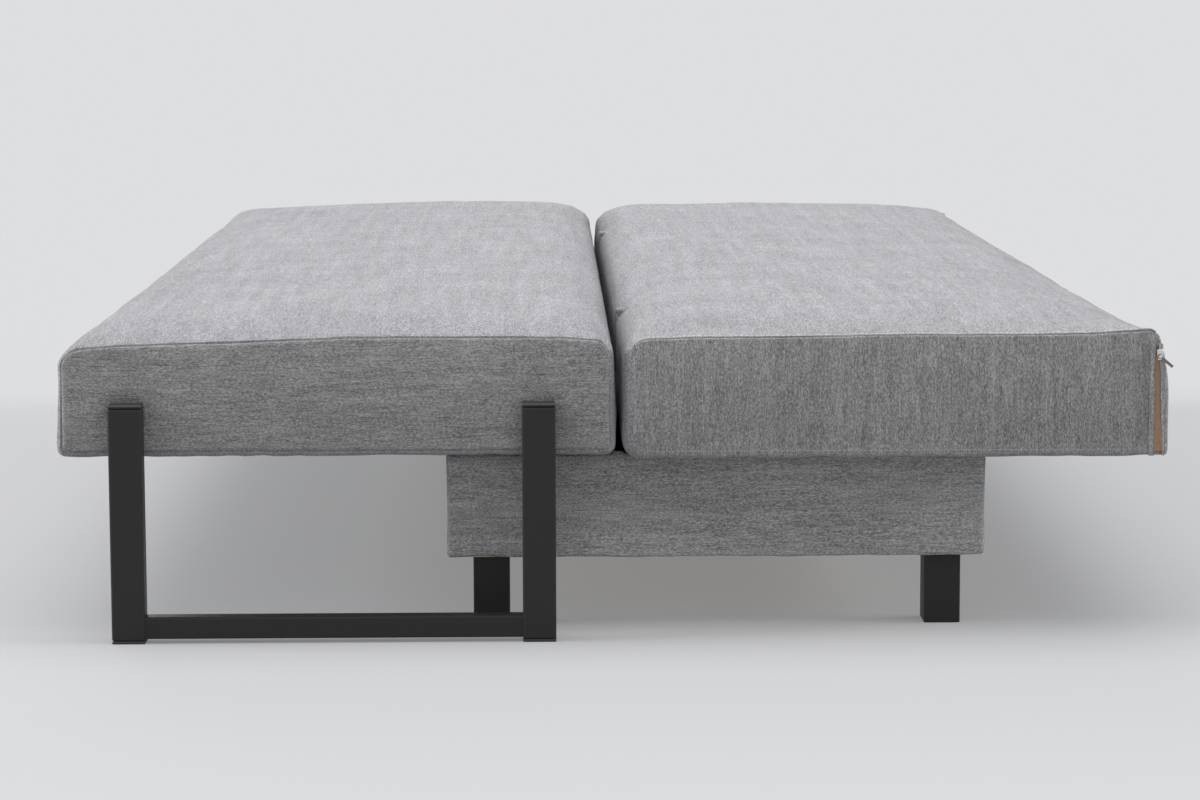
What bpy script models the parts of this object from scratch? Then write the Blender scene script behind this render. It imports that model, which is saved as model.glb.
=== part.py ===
"""Futon sofa bed, folded flat as a bed.

Metres, +Z up. The origin is on the floor under the middle of the bed, +X runs from the
seat half towards the back half, and +Y runs along the bed's length. Three assemblies
move: the seat half slides on rails in the storage box, the back half folds up on hinges
carried by the seat half, and the back cover's zip slider runs along its tape.
"""

import math

import bmesh
import bpy
from mathutils import Matrix

# ---- driving dimensions -------------------------------------------------------------
BED_WIDTH = 1.200
BED_LENGTH = 2.000
SEAT_WIDTH = 0.602
JOINT_GAP = 0.006
SEAT_BOTTOM = 0.199
BACK_BOTTOM = 0.195
BED_TOP = 0.340
AIR = 0.0003                 # clearance between touching pieces
THROUGH = 0.010              # how far a cutter reaches past what it cuts

SEAT_X = (-BED_WIDTH / 2, -BED_WIDTH / 2 + SEAT_WIDTH)
BACK_X = (SEAT_X[1] + JOINT_GAP, BED_WIDTH / 2 - 0.0015)
SEAT_Z = (SEAT_BOTTOM, BED_TOP)
BACK_Z = (BACK_BOTTOM, BED_TOP)
HALF_LENGTH = BED_LENGTH / 2
ENDS = (("near", -1), ("far", 1))

# corner radii of each cushion's section: bottom left, bottom right, top right, top left
SEAT_RADII = (0.010, 0.012, 0.022, 0.026)
BACK_RADII = (0.020, 0.006, 0.006, 0.028)
END_EDGE = 0.006             # rounding of the edges round each cushion's end panel
COVER_WALL = 0.002
HEM = 0.030                  # how far a cover turns in under its cushion
CLOTH_TOP = 0.0015           # top of the bottom cloth above the cushion's underside

# storage box
BOX_X = (-0.183, 0.409)
BOX_Y = 0.950
BOX_Z = (0.079, 0.194)
BOX_BAND = 0.0025            # upholstery round the box
BAND_EDGE = 0.003
BOARD = 0.018
BOARD_SET_BACK = 0.0005      # boards end this much inside the band's edges
BOX_FLOOR = 0.008
LEG_SIZE = 0.040
LEG_EDGE = 0.0015
LEG_X = (-0.154, 0.344)      # left sides of the front and rear legs
LEG_INSET_Y = 0.070          # from the cushions' end to the leg's outer side
CHANNEL_Z = (0.150, 0.182)   # the slide rails' section
CHANNEL_DEPTH = 0.016
CHANNEL_WALL = 0.002
CHANNEL_LIP = 0.005
CHANNEL_END_GAP = 0.001

# leg frames
FRAME_X = (-0.541, -0.063)   # outer sides of the leg frame's two uprights
UPRIGHT_WIDTH = 0.036
TUBE_DEPTH = 0.025
TUBE_EDGE = 0.002
TUBE_WALL = 0.002
FRAME_STAND_OFF = 0.001      # between the seat's end panel and the uprights
FRAME_TOP = 0.2588
CROSSBAR_Z = (0.0050, 0.0290)
CROSSBAR_INSET = 0.002       # the crossbar is this much shallower at each face
CAP_THICK = 0.0035
GLIDE_THICK = 0.0030
PLUG_LENGTH = 0.015
PLUG_SLACK = 0.0004
PLUG_WELD = 0.001            # how far a plug reaches into its plate
PLUG_EDGE = 0.001
BOLT_RADIUS = 0.004
BOLT_HEAD_RADIUS = 0.0065
BOLT_HEAD = 0.005
BOLT_SLACK = 0.0006
BOLT_HEIGHT = 0.031          # above the seat's underside
BOLT_REACH = 0.017           # past the seat's end

# timber frames inside the cushions
RAIL_HEIGHT = 0.040
RAIL_THICK = 0.022
END_RAIL_THICK = 0.024
END_FACE_INSET = 0.0075      # from the cushion's end to the end rail's outer face
FRAME_LIFT = 0.0025          # above the cushion's underside
POCKET_HEIGHT = RAIL_HEIGHT + 0.0055
POCKET_SLACK = 0.0005
SLAT_THICK = 0.012
SLAT_WIDTH = 0.070
SEAT_SLAT_Y = 0.350
BACK_SLAT_Y = 0.500
SEAT_RAIL_X = (SEAT_X[0] + 0.015, SEAT_X[1] - 0.027)
BACK_RAIL_X = (BACK_X[0] + 0.067, BACK_X[1] - 0.015)

# hinges
HINGE_X = BACK_X[0] + 0.030
HINGE_Z = BED_TOP - 0.032
HINGE_Y = 0.600
HINGE_PLATE = 0.005
BOSS_RADIUS = 0.011
BOSS_SLOT = (0.0045, 0.0135)     # tops of the slots round the boss, above the pin
ARM_HALF_WIDTH = 0.008
ARM_FOOT = (0.004, 0.020)        # bottom and top of the arm's foot above the seat's underside
ARM_SLOT_HEIGHT = 0.027
ARM_SWEEP = 0.022                # room for the arm on the joint's side of the pin
SLOT_HALF = 0.012
FLANGE_THICK = 0.003
FLANGE_HALF = 0.030
FLANGE_TOP = 0.038
FLANGE_NOTCH = 0.012
FLANGE_NOTCH_HALF = 0.036
LEAF_FLANGE = (0.005, 0.040)
LEAF_RISE = 0.030
PIN_RADIUS = 0.004
PIN_PLAY = 0.0004
PIN_HEAD_RADIUS = 0.007
PIN_HEAD = 0.002

# slide carriages
CARRIAGE_X = (-0.155, -0.055)
CARRIAGE_PLATE_DEPTHS = (0.0170, 0.0210)     # the plate's faces inside the box's end wall
RUNNER_DEPTHS = (0.0030, 0.0180)
RUNNER_Z = (0.1575, 0.1745)
RUNNER_INSET = 0.004
PLATE_EDGE = 0.0005

# zip
TAPE_WIDTH = 0.010
TAPE_THICK = 0.0012
TAPE_LIFT = 0.005
ZIP_X = BACK_X[1] - 0.0105
TAPE_Y = -HALF_LENGTH - AIR - TAPE_THICK
SLIDER_TOP = 0.312
SLIDER_SIZE = (0.0104, 0.0120)
SLIDER_EDGE = 0.0008
SLIDER_Y = (TAPE_Y - AIR - 0.0024, TAPE_Y - AIR)
PULL_THICK = 0.0009
PULL_Y = (SLIDER_Y[0] - AIR - PULL_THICK, SLIDER_Y[0] - AIR)
PULL_PIVOT = (ZIP_X, sum(PULL_Y) / 2, SLIDER_TOP - 0.008)
PULL_WIDTH = 0.0032
PULL_LENGTH = 0.0175             # from the post to the pull's tip
PULL_LEAN = math.radians(50.0)   # from hanging straight down towards the outer side
EYE_RADIUS = 0.0026
POST_RADIUS = 0.0011
POST_HEAD_RADIUS = 0.0019
POST_HEAD = 0.0008

COLOURS = {
    "fabric": ((0.40, 0.41, 0.42), 0.95, 0.0),
    "box_fabric": ((0.33, 0.34, 0.35), 0.95, 0.0),
    "foam": ((0.82, 0.80, 0.72), 0.95, 0.0),
    "timber": ((0.62, 0.47, 0.30), 0.70, 0.0),
    "board": ((0.55, 0.43, 0.30), 0.75, 0.0),
    "cloth": ((0.05, 0.05, 0.05), 0.95, 0.0),
    "black_steel": ((0.022, 0.020, 0.021), 0.42, 0.6),
    "black_wood": ((0.020, 0.018, 0.018), 0.50, 0.0),
    "black_plastic": ((0.020, 0.020, 0.020), 0.55, 0.0),
    "zinc_steel": ((0.60, 0.61, 0.62), 0.35, 1.0),
    "zip_tape": ((0.36, 0.23, 0.15), 0.90, 0.0),
    "zip_metal": ((0.70, 0.70, 0.70), 0.25, 1.0),
}


# ---- scene set-up -------------------------------------------------------------------
def clear_scene():
    for obj in list(bpy.data.objects):
        bpy.data.objects.remove(obj, do_unlink=True)


def new_collection(name):
    collection = bpy.data.collections.new(name)
    bpy.context.scene.collection.children.link(collection)
    return collection


def make_materials():
    materials = {}
    for name, (colour, roughness, metallic) in COLOURS.items():
        material = bpy.data.materials.new(name)
        material.use_nodes = True
        shader = material.node_tree.nodes["Principled BSDF"]
        shader.inputs["Base Color"].default_value = (*colour, 1.0)
        shader.inputs["Roughness"].default_value = roughness
        shader.inputs["Metallic"].default_value = metallic
        materials[name] = material
    return materials


clear_scene()
PARTS = new_collection("futon_sofa_bed")
CUTTERS = new_collection("cutters")
MATERIALS = make_materials()


def axis_empty(name, location, parent=None):
    """An empty on a joint's axis, which carries the pieces that move on that joint."""
    empty = bpy.data.objects.new(name, None)
    empty.empty_display_size = 0.05
    PARTS.objects.link(empty)
    empty.location = location
    if parent is not None:
        empty.parent = parent
        empty.location = [a - b for a, b in zip(location, world_of(parent))]
    return empty


def world_of(empty):
    place = list(empty.location)
    while empty.parent is not None:
        empty = empty.parent
        place = [a + b for a, b in zip(place, empty.location)]
    return place


BASE = axis_empty("base_axis", (0.0, 0.0, 0.0))
SEAT = axis_empty("seat_slide_axis", (SEAT_X[1], 0.0, BOX_Z[1]))
BACK = axis_empty("back_fold_axis", (HINGE_X, 0.0, HINGE_Z), SEAT)
SLIDER = axis_empty("zip_slide_axis", (ZIP_X, TAPE_Y, SLIDER_TOP), BACK)
PULL = axis_empty("zip_pull_axis", PULL_PIVOT, SLIDER)


# ---- building blocks ----------------------------------------------------------------
def finish(obj, material, parent):
    """Make an object one of the sofa bed's nodes, carried by its assembly's empty."""
    PARTS.objects.link(obj)
    obj.data.materials.clear()
    obj.data.materials.append(MATERIALS[material])
    if parent is not None:
        obj.parent = parent
        obj.location = [a - b for a, b in zip(obj.location, world_of(parent))]
    return obj


def as_cutter(obj):
    CUTTERS.objects.link(obj)
    obj.hide_render = True
    obj.display_type = "WIRE"
    return obj


def box_object(name, low, high):
    mesh = bpy.data.meshes.new(name)
    shape = bmesh.new()
    bmesh.ops.create_cube(shape, size=1.0)
    bmesh.ops.scale(shape, vec=[b - a for a, b in zip(low, high)], verts=shape.verts)
    shape.to_mesh(mesh)
    shape.free()
    obj = bpy.data.objects.new(name, mesh)
    obj.location = [(a + b) / 2 for a, b in zip(low, high)]
    return obj


def round_edges(obj, width, segments=2, angle=50.0):
    bevel = obj.modifiers.new("edges", "BEVEL")
    bevel.width = width
    bevel.segments = segments
    bevel.limit_method = "ANGLE"
    bevel.angle_limit = math.radians(angle)
    return obj


def combine(obj, other, operation):
    boolean = obj.modifiers.new(operation.lower(), "BOOLEAN")
    boolean.operation = operation
    boolean.object = other
    boolean.solver = "EXACT"
    return obj


def cut(obj, cutter):
    return combine(obj, cutter, "DIFFERENCE")


def cut_box(obj, low, high):
    return cut(obj, as_cutter(box_object(obj.name + "_cut", low, high)))


def add_box(obj, low, high, edge=0.0):
    """Weld a box onto a piece."""
    other = as_cutter(box_object(obj.name + "_add", low, high))
    if edge:
        round_edges(other, edge)
    return combine(obj, other, "UNION")


def block(name, low, high, material, parent, edge=0.001):
    obj = box_object(name, low, high)
    if edge:
        round_edges(obj, edge, segments=1)
    return finish(obj, material, parent)


def arc_corner(before, corner, after, radius, steps):
    """Points of the arc that rounds a right-angled corner of an outline."""
    towards = []
    for other in (before, after):
        length = math.dist(other, corner)
        towards.append([(o - c) / length * radius for o, c in zip(other, corner)])
    centre = [corner[k] + towards[0][k] + towards[1][k] for k in (0, 1)]
    points = []
    for step in range(steps + 1):
        turn = math.pi / 2 * step / steps
        points.append([centre[k] - towards[1][k] * math.cos(turn)
                       - towards[0][k] * math.sin(turn) for k in (0, 1)])
    return points


def rounded_section(x_range, z_range, radii, inset=0.0, steps=4):
    """Rectangle with four rounded corners, anticlockwise from the bottom left."""
    x0, x1 = x_range[0] + inset, x_range[1] - inset
    z0, z1 = z_range[0] + inset, z_range[1] - inset
    corners = [(x0, z0), (x1, z0), (x1, z1), (x0, z1)]
    points = []
    for index, corner in enumerate(corners):
        radius = max(radii[index] - inset, 0.001)
        points += arc_corner(corners[index - 1], corner, corners[(index + 1) % 4], radius, steps)
    return points


def prism(name, outline, along, centre=0.0, thickness=1.0):
    """A flat outline made solid: along Y it lies in X and Z, along X in Y and Z."""
    curve = bpy.data.curves.new(name, "CURVE")
    curve.dimensions = "2D"
    curve.fill_mode = "BOTH"
    curve.extrude = thickness / 2
    spline = curve.splines.new("POLY")
    spline.points.add(len(outline) - 1)
    for point, (across, up) in zip(spline.points, outline):
        point.co = (across, up, 0.0, 1.0)
    spline.use_cyclic_u = True
    holder = bpy.data.objects.new(name, curve)
    bpy.context.scene.collection.objects.link(holder)
    turn = math.pi / 2
    holder.rotation_euler = (turn, 0.0, 0.0) if along == "Y" else (turn, 0.0, turn)
    holder.location = (0.0, centre, 0.0) if along == "Y" else (centre, 0.0, 0.0)
    bpy.context.view_layer.update()
    evaluated = holder.evaluated_get(bpy.context.evaluated_depsgraph_get())
    mesh = bpy.data.meshes.new_from_object(evaluated)
    place = holder.matrix_world.copy()
    bpy.data.objects.remove(holder, do_unlink=True)
    shape = bmesh.new()
    shape.from_mesh(mesh)
    bmesh.ops.remove_doubles(shape, verts=shape.verts, dist=0.00001)
    bmesh.ops.recalc_face_normals(shape, faces=shape.faces)
    shape.to_mesh(mesh)
    shape.free()
    obj = bpy.data.objects.new(name, mesh)
    obj.matrix_world = place
    return obj


def rod_object(name, radius, y_from, y_to, x, z, sides=16):
    """A round rod along Y."""
    mesh = bpy.data.meshes.new(name)
    shape = bmesh.new()
    bmesh.ops.create_cone(shape, cap_ends=True, segments=sides, radius1=radius,
                          radius2=radius, depth=abs(y_to - y_from))
    shape.to_mesh(mesh)
    shape.free()
    mesh.shade_smooth()
    mesh.set_sharp_from_angle(angle=math.radians(40.0))
    obj = bpy.data.objects.new(name, mesh)
    obj.rotation_euler = (math.pi / 2, 0.0, 0.0)
    obj.location = (x, (y_from + y_to) / 2, z)
    return obj


def add_rod(obj, radius, y_from, y_to, x, z, sides=16):
    """Weld a round rod along Y onto a piece."""
    rod = as_cutter(rod_object(obj.name + "_rod", radius, y_from, y_to, x, z, sides))
    return combine(obj, rod, "UNION")


# ---- storage box and its legs -------------------------------------------------------
def make_box():
    skin = BOX_BAND + AIR
    x0, x1 = BOX_X[0] + skin, BOX_X[1] - skin
    y1 = BOX_Y - skin
    z0, z1 = BOX_Z[0] + BOARD_SET_BACK, BOX_Z[1] - BOARD_SET_BACK
    block("box_panel_front", (x0, -y1, z0), (x0 + BOARD, y1, z1), "board", BASE)
    block("box_panel_rear", (x1 - BOARD, -y1, z0), (x1, y1, z1), "board", BASE)
    inner_x = (x0 + BOARD + AIR, x1 - BOARD - AIR)
    for end, side in ENDS:
        ys = sorted((side * y1, side * (y1 - BOARD)))
        block("box_panel_" + end, (inner_x[0], ys[0], z0), (inner_x[1], ys[1], z1), "board", BASE)
    inner_y = y1 - BOARD - AIR
    block("box_floor", (inner_x[0], -inner_y, z0), (inner_x[1], inner_y, z0 + BOX_FLOOR),
          "board", BASE)
    band = box_object("box_upholstery", (BOX_X[0], -BOX_Y, BOX_Z[0]), (BOX_X[1], BOX_Y, BOX_Z[1]))
    finish(round_edges(band, BAND_EDGE), "box_fabric", BASE)
    cut_box(band, (BOX_X[0] + BOX_BAND, -BOX_Y + BOX_BAND, BOX_Z[0] - THROUGH),
            (BOX_X[1] - BOX_BAND, BOX_Y - BOX_BAND, BOX_Z[1] + THROUGH))
    return inner_x, inner_y


def make_legs():
    outer = HALF_LENGTH - LEG_INSET_Y
    for row, x in zip(("front", "rear"), LEG_X):
        for end, side in ENDS:
            ys = sorted((side * outer, side * (outer - LEG_SIZE)))
            leg = box_object("leg_" + row + "_" + end, (x, ys[0], 0.0),
                             (x + LEG_SIZE, ys[1], BOX_Z[0]))
            finish(round_edges(leg, LEG_EDGE), "black_wood", BASE)


def make_slide_rails(inner_x, inner_y):
    """C-shaped steel channels on the box's end walls, open towards the middle."""
    z0, z1 = CHANNEL_Z
    wall, lip = CHANNEL_WALL, CHANNEL_LIP
    back = inner_y + AIR / 2
    face = back - CHANNEL_DEPTH
    for end, side in ENDS:
        section = [(back, z0), (back, z1), (face, z1), (face, z1 - lip),
                   (face + wall, z1 - lip), (face + wall, z1 - wall), (back - wall, z1 - wall),
                   (back - wall, z0 + wall), (face + wall, z0 + wall), (face + wall, z0 + lip),
                   (face, z0 + lip), (face, z0)]
        outline = [(side * y, z) for y, z in section]
        length = inner_x[1] - inner_x[0] - 2 * CHANNEL_END_GAP
        rail = prism("slide_rail_" + end, outline, "X", sum(inner_x) / 2, length)
        finish(rail, "zinc_steel", BASE)


# ---- cushions -----------------------------------------------------------------------
def cushion_solid(name, x_range, z_range, radii, inset=0.0):
    """Rounded block along the bed, its end edges softened."""
    outline = rounded_section(x_range, z_range, radii, inset)
    solid = prism(name, outline, "Y", 0.0, BED_LENGTH - 2 * inset)
    return round_edges(solid, END_EDGE - min(inset, COVER_WALL), segments=2, angle=60.0)


def make_cover(name, x_range, z_range, radii, parent):
    """The sewn cover: an open-bottomed shell with a hem turned in underneath."""
    cover = finish(cushion_solid(name, x_range, z_range, radii), "fabric", parent)
    hollow = cushion_solid(name + "_hollow", x_range, z_range, radii, COVER_WALL)
    cut(cover, as_cutter(hollow))
    cut_box(cover, (x_range[0] + HEM, -HALF_LENGTH + HEM, z_range[0] - THROUGH),
            (x_range[1] - HEM, HALF_LENGTH - HEM, z_range[0] + THROUGH))
    return cover


def make_core(name, x_range, z_range, radii, pocket_x, parent):
    """The foam and spring core, hollowed below to sit over the timber frame."""
    core = finish(cushion_solid(name, x_range, z_range, radii, COVER_WALL + AIR), "foam", parent)
    pocket_y = HALF_LENGTH - END_FACE_INSET + POCKET_SLACK
    cut_box(core, (pocket_x[0] - AIR, -pocket_y, z_range[0] - THROUGH),
            (pocket_x[1] + AIR, pocket_y, z_range[0] + POCKET_HEIGHT))
    return core


def make_bottom_cloth(name, x_range, bottom, parent):
    """The cloth that fills the opening inside the cover's hem."""
    return block(name, (x_range[0] + HEM + AIR, -HALF_LENGTH + HEM + AIR, bottom + AIR),
                 (x_range[1] - HEM - AIR, HALF_LENGTH - HEM - AIR, bottom + CLOTH_TOP),
                 "cloth", parent, edge=0.0)


def make_frame(prefix, rail_x, bottom, slat_places, parent):
    """Two long rails between two end rails, with slats across."""
    z0, z1 = bottom + FRAME_LIFT, bottom + FRAME_LIFT + RAIL_HEIGHT
    end_face = HALF_LENGTH - END_FACE_INSET
    inner_y = end_face - END_RAIL_THICK - AIR
    block(prefix + "_rail_left", (rail_x[0], -inner_y, z0),
          (rail_x[0] + RAIL_THICK, inner_y, z1), "timber", parent)
    block(prefix + "_rail_right", (rail_x[1] - RAIL_THICK, -inner_y, z0),
          (rail_x[1], inner_y, z1), "timber", parent)
    end_rails = []
    for end, side in ENDS:
        ys = sorted((side * end_face, side * (end_face - END_RAIL_THICK)))
        end_rails.append(block(prefix + "_rail_" + end, (rail_x[0], ys[0], z0),
                               (rail_x[1], ys[1], z1), "timber", parent))
    between = (rail_x[0] + RAIL_THICK + AIR, rail_x[1] - RAIL_THICK - AIR)
    for label, y in slat_places:
        block(prefix + "_slat_" + label, (between[0], y - SLAT_WIDTH / 2, z1 - SLAT_THICK),
              (between[1], y + SLAT_WIDTH / 2, z1), "timber", parent)
    return end_rails, between


def make_seat():
    cover = make_cover("seat_cover", SEAT_X, SEAT_Z, SEAT_RADII, SEAT)
    pocket_x = (SEAT_RAIL_X[0], SEAT_RAIL_X[1] + FLANGE_THICK + 2 * AIR)
    core = make_core("seat_core", SEAT_X, SEAT_Z, SEAT_RADII, pocket_x, SEAT)
    cloth = make_bottom_cloth("seat_bottom_cloth", SEAT_X, SEAT_BOTTOM, SEAT)
    slats = (("near", -SEAT_SLAT_Y), ("far", SEAT_SLAT_Y))
    end_rails, between = make_frame("seat", SEAT_RAIL_X, SEAT_BOTTOM, slats, SEAT)
    for _, side in ENDS:
        y = side * HINGE_Y
        for piece in (cover, core):
            cut_box(piece, (SEAT_RAIL_X[1], y - SLOT_HALF, SEAT_BOTTOM - THROUGH),
                    (SEAT_X[1] + THROUGH, y + SLOT_HALF, SEAT_BOTTOM + ARM_SLOT_HEIGHT))
        cut_box(cover, (SEAT_RAIL_X[1] - FLANGE_NOTCH, y - FLANGE_NOTCH_HALF, SEAT_BOTTOM - THROUGH),
                (SEAT_RAIL_X[1] + FLANGE_NOTCH, y + FLANGE_NOTCH_HALF, SEAT_BOTTOM + 2 * COVER_WALL))
    return cover, core, cloth, end_rails, between


def make_back():
    cover = make_cover("back_cover", BACK_X, BACK_Z, BACK_RADII, BACK)
    pocket_x = (BACK_RAIL_X[0] - FLANGE_THICK - 3 * AIR, BACK_RAIL_X[1])
    core = make_core("back_core", BACK_X, BACK_Z, BACK_RADII, pocket_x, BACK)
    cloth = make_bottom_cloth("back_bottom_cloth", BACK_X, BACK_BOTTOM, BACK)
    slats = (("near", -BACK_SLAT_Y), ("middle", 0.0), ("far", BACK_SLAT_Y))
    make_frame("back", BACK_RAIL_X, BACK_BOTTOM, slats, BACK)
    slot_end = BACK_RAIL_X[0] - 0.001
    for _, side in ENDS:
        y = side * HINGE_Y
        for piece in (cover, core):
            cut_box(piece, (BACK_X[0] - THROUGH, y - SLOT_HALF, BACK_BOTTOM - THROUGH),
                    (slot_end, y + SLOT_HALF, HINGE_Z + BOSS_SLOT[0]))
        cut_box(core, (HINGE_X - ARM_SWEEP, y - SLOT_HALF, BACK_BOTTOM - THROUGH),
                (slot_end, y + SLOT_HALF, HINGE_Z + BOSS_SLOT[1]))
        cut_box(cloth, (BACK_X[0], y - SLOT_HALF, BACK_BOTTOM - THROUGH),
                (slot_end, y + SLOT_HALF, BACK_BOTTOM + THROUGH))


# ---- leg frames at the seat's two ends ----------------------------------------------
def make_leg_frame(end, side, soft_pieces, end_rail):
    """Welded frame of rectangular tube: two uprights and a crossbar near the floor."""
    ys = sorted((side * (HALF_LENGTH + FRAME_STAND_OFF),
                 side * (HALF_LENGTH + FRAME_STAND_OFF + TUBE_DEPTH)))
    top = FRAME_TOP - CAP_THICK - AIR
    foot = GLIDE_THICK + AIR
    bar_x = (FRAME_X[0] + UPRIGHT_WIDTH / 2, FRAME_X[1] - UPRIGHT_WIDTH / 2)
    bar_y = (ys[0] + CROSSBAR_INSET, ys[1] - CROSSBAR_INSET)
    frame = box_object("leg_frame_" + end, (bar_x[0], bar_y[0], CROSSBAR_Z[0]),
                       (bar_x[1], bar_y[1], CROSSBAR_Z[1]))
    finish(round_edges(frame, TUBE_EDGE), "black_steel", SEAT)
    upright_xs = (FRAME_X[0], FRAME_X[1] - UPRIGHT_WIDTH)
    bores = []
    for x in upright_xs:
        add_box(frame, (x, ys[0], foot), (x + UPRIGHT_WIDTH, ys[1], top), edge=TUBE_EDGE)
        bores.append(((x + TUBE_WALL, ys[0] + TUBE_WALL),
                      (x + UPRIGHT_WIDTH - TUBE_WALL, ys[1] - TUBE_WALL)))
    for low, high in bores:
        cut_box(frame, (*low, foot - THROUGH), (*high, top + THROUGH))
    cut_box(frame, (bar_x[0], bar_y[0] + TUBE_WALL, CROSSBAR_Z[0] + TUBE_WALL),
            (bar_x[1], bar_y[1] - TUBE_WALL, CROSSBAR_Z[1] - TUBE_WALL))
    for label, x, bore in zip(("left", "right"), upright_xs, bores):
        tag = end + "_" + label
        make_plug("cap_" + tag, x, ys, (top + AIR, FRAME_TOP), bore,
                  (top - PLUG_LENGTH, top + AIR + PLUG_WELD))
        make_plug("glide_" + tag, x, ys, (0.0, GLIDE_THICK), bore,
                  (GLIDE_THICK - PLUG_WELD, foot + PLUG_LENGTH))
        make_frame_bolt(tag, side, x + UPRIGHT_WIDTH / 2, frame, soft_pieces, end_rail)


def make_plug(name, x, ys, plate_z, bore, plug_z):
    """A plastic plate with a plug that presses into the end of a steel tube."""
    plate = box_object(name, (x, ys[0], plate_z[0]), (x + UPRIGHT_WIDTH, ys[1], plate_z[1]))
    finish(round_edges(plate, PLUG_EDGE, segments=1), "black_plastic", SEAT)
    low, high = bore
    add_box(plate, (low[0] + PLUG_SLACK, low[1] + PLUG_SLACK, plug_z[0]),
            (high[0] - PLUG_SLACK, high[1] - PLUG_SLACK, plug_z[1]))


def make_frame_bolt(tag, side, x, frame, soft_pieces, end_rail):
    """Machine bolt from inside the seat's end rail into the leg frame's upright."""
    z = SEAT_BOTTOM + BOLT_HEIGHT
    inner = side * (HALF_LENGTH - END_FACE_INSET - END_RAIL_THICK)
    tip = side * (HALF_LENGTH + BOLT_REACH)
    head_face = inner - side * (AIR + BOLT_HEAD)
    bolt = rod_object("frame_bolt_" + tag, BOLT_RADIUS, inner - side * AIR * 2, tip, x, z)
    finish(bolt, "zinc_steel", SEAT)
    add_rod(bolt, BOLT_HEAD_RADIUS, head_face, inner - side * AIR, x, z)
    hole = as_cutter(rod_object(bolt.name + "_hole", BOLT_RADIUS + BOLT_SLACK,
                                inner - side * THROUGH, tip + side * COVER_WALL, x, z))
    for piece in (frame, end_rail, *soft_pieces):
        cut(piece, hole)


# ---- slide carriages and hinges -----------------------------------------------------
def make_carriages(inner_y, between, cloth):
    """Upright plates under the seat, each with a nylon block that runs in its rail."""
    x0, x1 = CARRIAGE_X
    for end, side in ENDS:
        plate_y = sorted(side * (inner_y - depth) for depth in CARRIAGE_PLATE_DEPTHS)
        runner_y = sorted(side * (inner_y - depth) for depth in RUNNER_DEPTHS)
        plate = box_object("carriage_" + end, (x0, plate_y[0], RUNNER_Z[0] + 0.0005),
                           (x1, plate_y[1], SEAT_BOTTOM + RAIL_HEIGHT))
        finish(round_edges(plate, PLATE_EDGE, segments=1), "zinc_steel", SEAT)
        add_box(plate, (x0 + RUNNER_INSET, runner_y[0], RUNNER_Z[0]),
                (x1 - RUNNER_INSET, runner_y[1], RUNNER_Z[1]))
        bearer_face = inner_y - CARRIAGE_PLATE_DEPTHS[1] - AIR
        bearer_y = sorted((side * bearer_face, side * (bearer_face - RAIL_THICK)))
        block("seat_bearer_" + end, (between[0], bearer_y[0], SEAT_BOTTOM + FRAME_LIFT),
              (between[1], bearer_y[1], SEAT_BOTTOM + FRAME_LIFT + RAIL_HEIGHT), "timber", SEAT)
        cut_box(cloth, (x0 - RUNNER_INSET, plate_y[0] - COVER_WALL, SEAT_BOTTOM - THROUGH),
                (x1 + RUNNER_INSET, plate_y[1] + COVER_WALL, SEAT_BOTTOM + THROUGH))


def boss_arc(start, turn, count):
    """Points round a hinge's boss, anticlockwise from an angle in degrees."""
    angles = [math.radians(start + turn * k) for k in range(count)]
    return [(HINGE_X + BOSS_RADIUS * math.cos(a), HINGE_Z + BOSS_RADIUS * math.sin(a))
            for a in angles]


def make_hinge_arm(end, y, plate_y):
    """Goose-neck arm: from a flange on the seat's right rail, under the joint and up to the pin."""
    low, high = SEAT_BOTTOM + ARM_FOOT[0], SEAT_BOTTOM + ARM_FOOT[1]
    flange_x = SEAT_RAIL_X[1] + AIR
    outline = [(flange_x + 0.001, low), (HINGE_X + ARM_HALF_WIDTH, low), *boss_arc(-45, 30, 10),
               (HINGE_X - ARM_HALF_WIDTH, high), (flange_x + 0.001, high)]
    arm = prism("hinge_arm_" + end, outline, "Y", sum(plate_y) / 2, HINGE_PLATE)
    finish(arm, "zinc_steel", SEAT)
    add_box(arm, (flange_x, y - FLANGE_HALF, low),
            (flange_x + FLANGE_THICK, y + FLANGE_HALF, SEAT_BOTTOM + FLANGE_TOP))
    return arm


def make_hinge_leaf(end, y, plate_y):
    """Plate from the pin down to a flange on the back's left rail."""
    leaf_x = BACK_RAIL_X[0] - AIR
    low, high = BACK_BOTTOM + LEAF_FLANGE[0], BACK_BOTTOM + LEAF_FLANGE[1]
    outline = [*boss_arc(45, 30, 7), (leaf_x - 0.001, low), (leaf_x - 0.001, high + LEAF_RISE)]
    leaf = prism("hinge_leaf_" + end, outline, "Y", sum(plate_y) / 2, HINGE_PLATE)
    finish(leaf, "zinc_steel", BACK)
    add_box(leaf, (leaf_x - FLANGE_THICK, y - FLANGE_HALF, low), (leaf_x, y + FLANGE_HALF, high))
    return leaf


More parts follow.
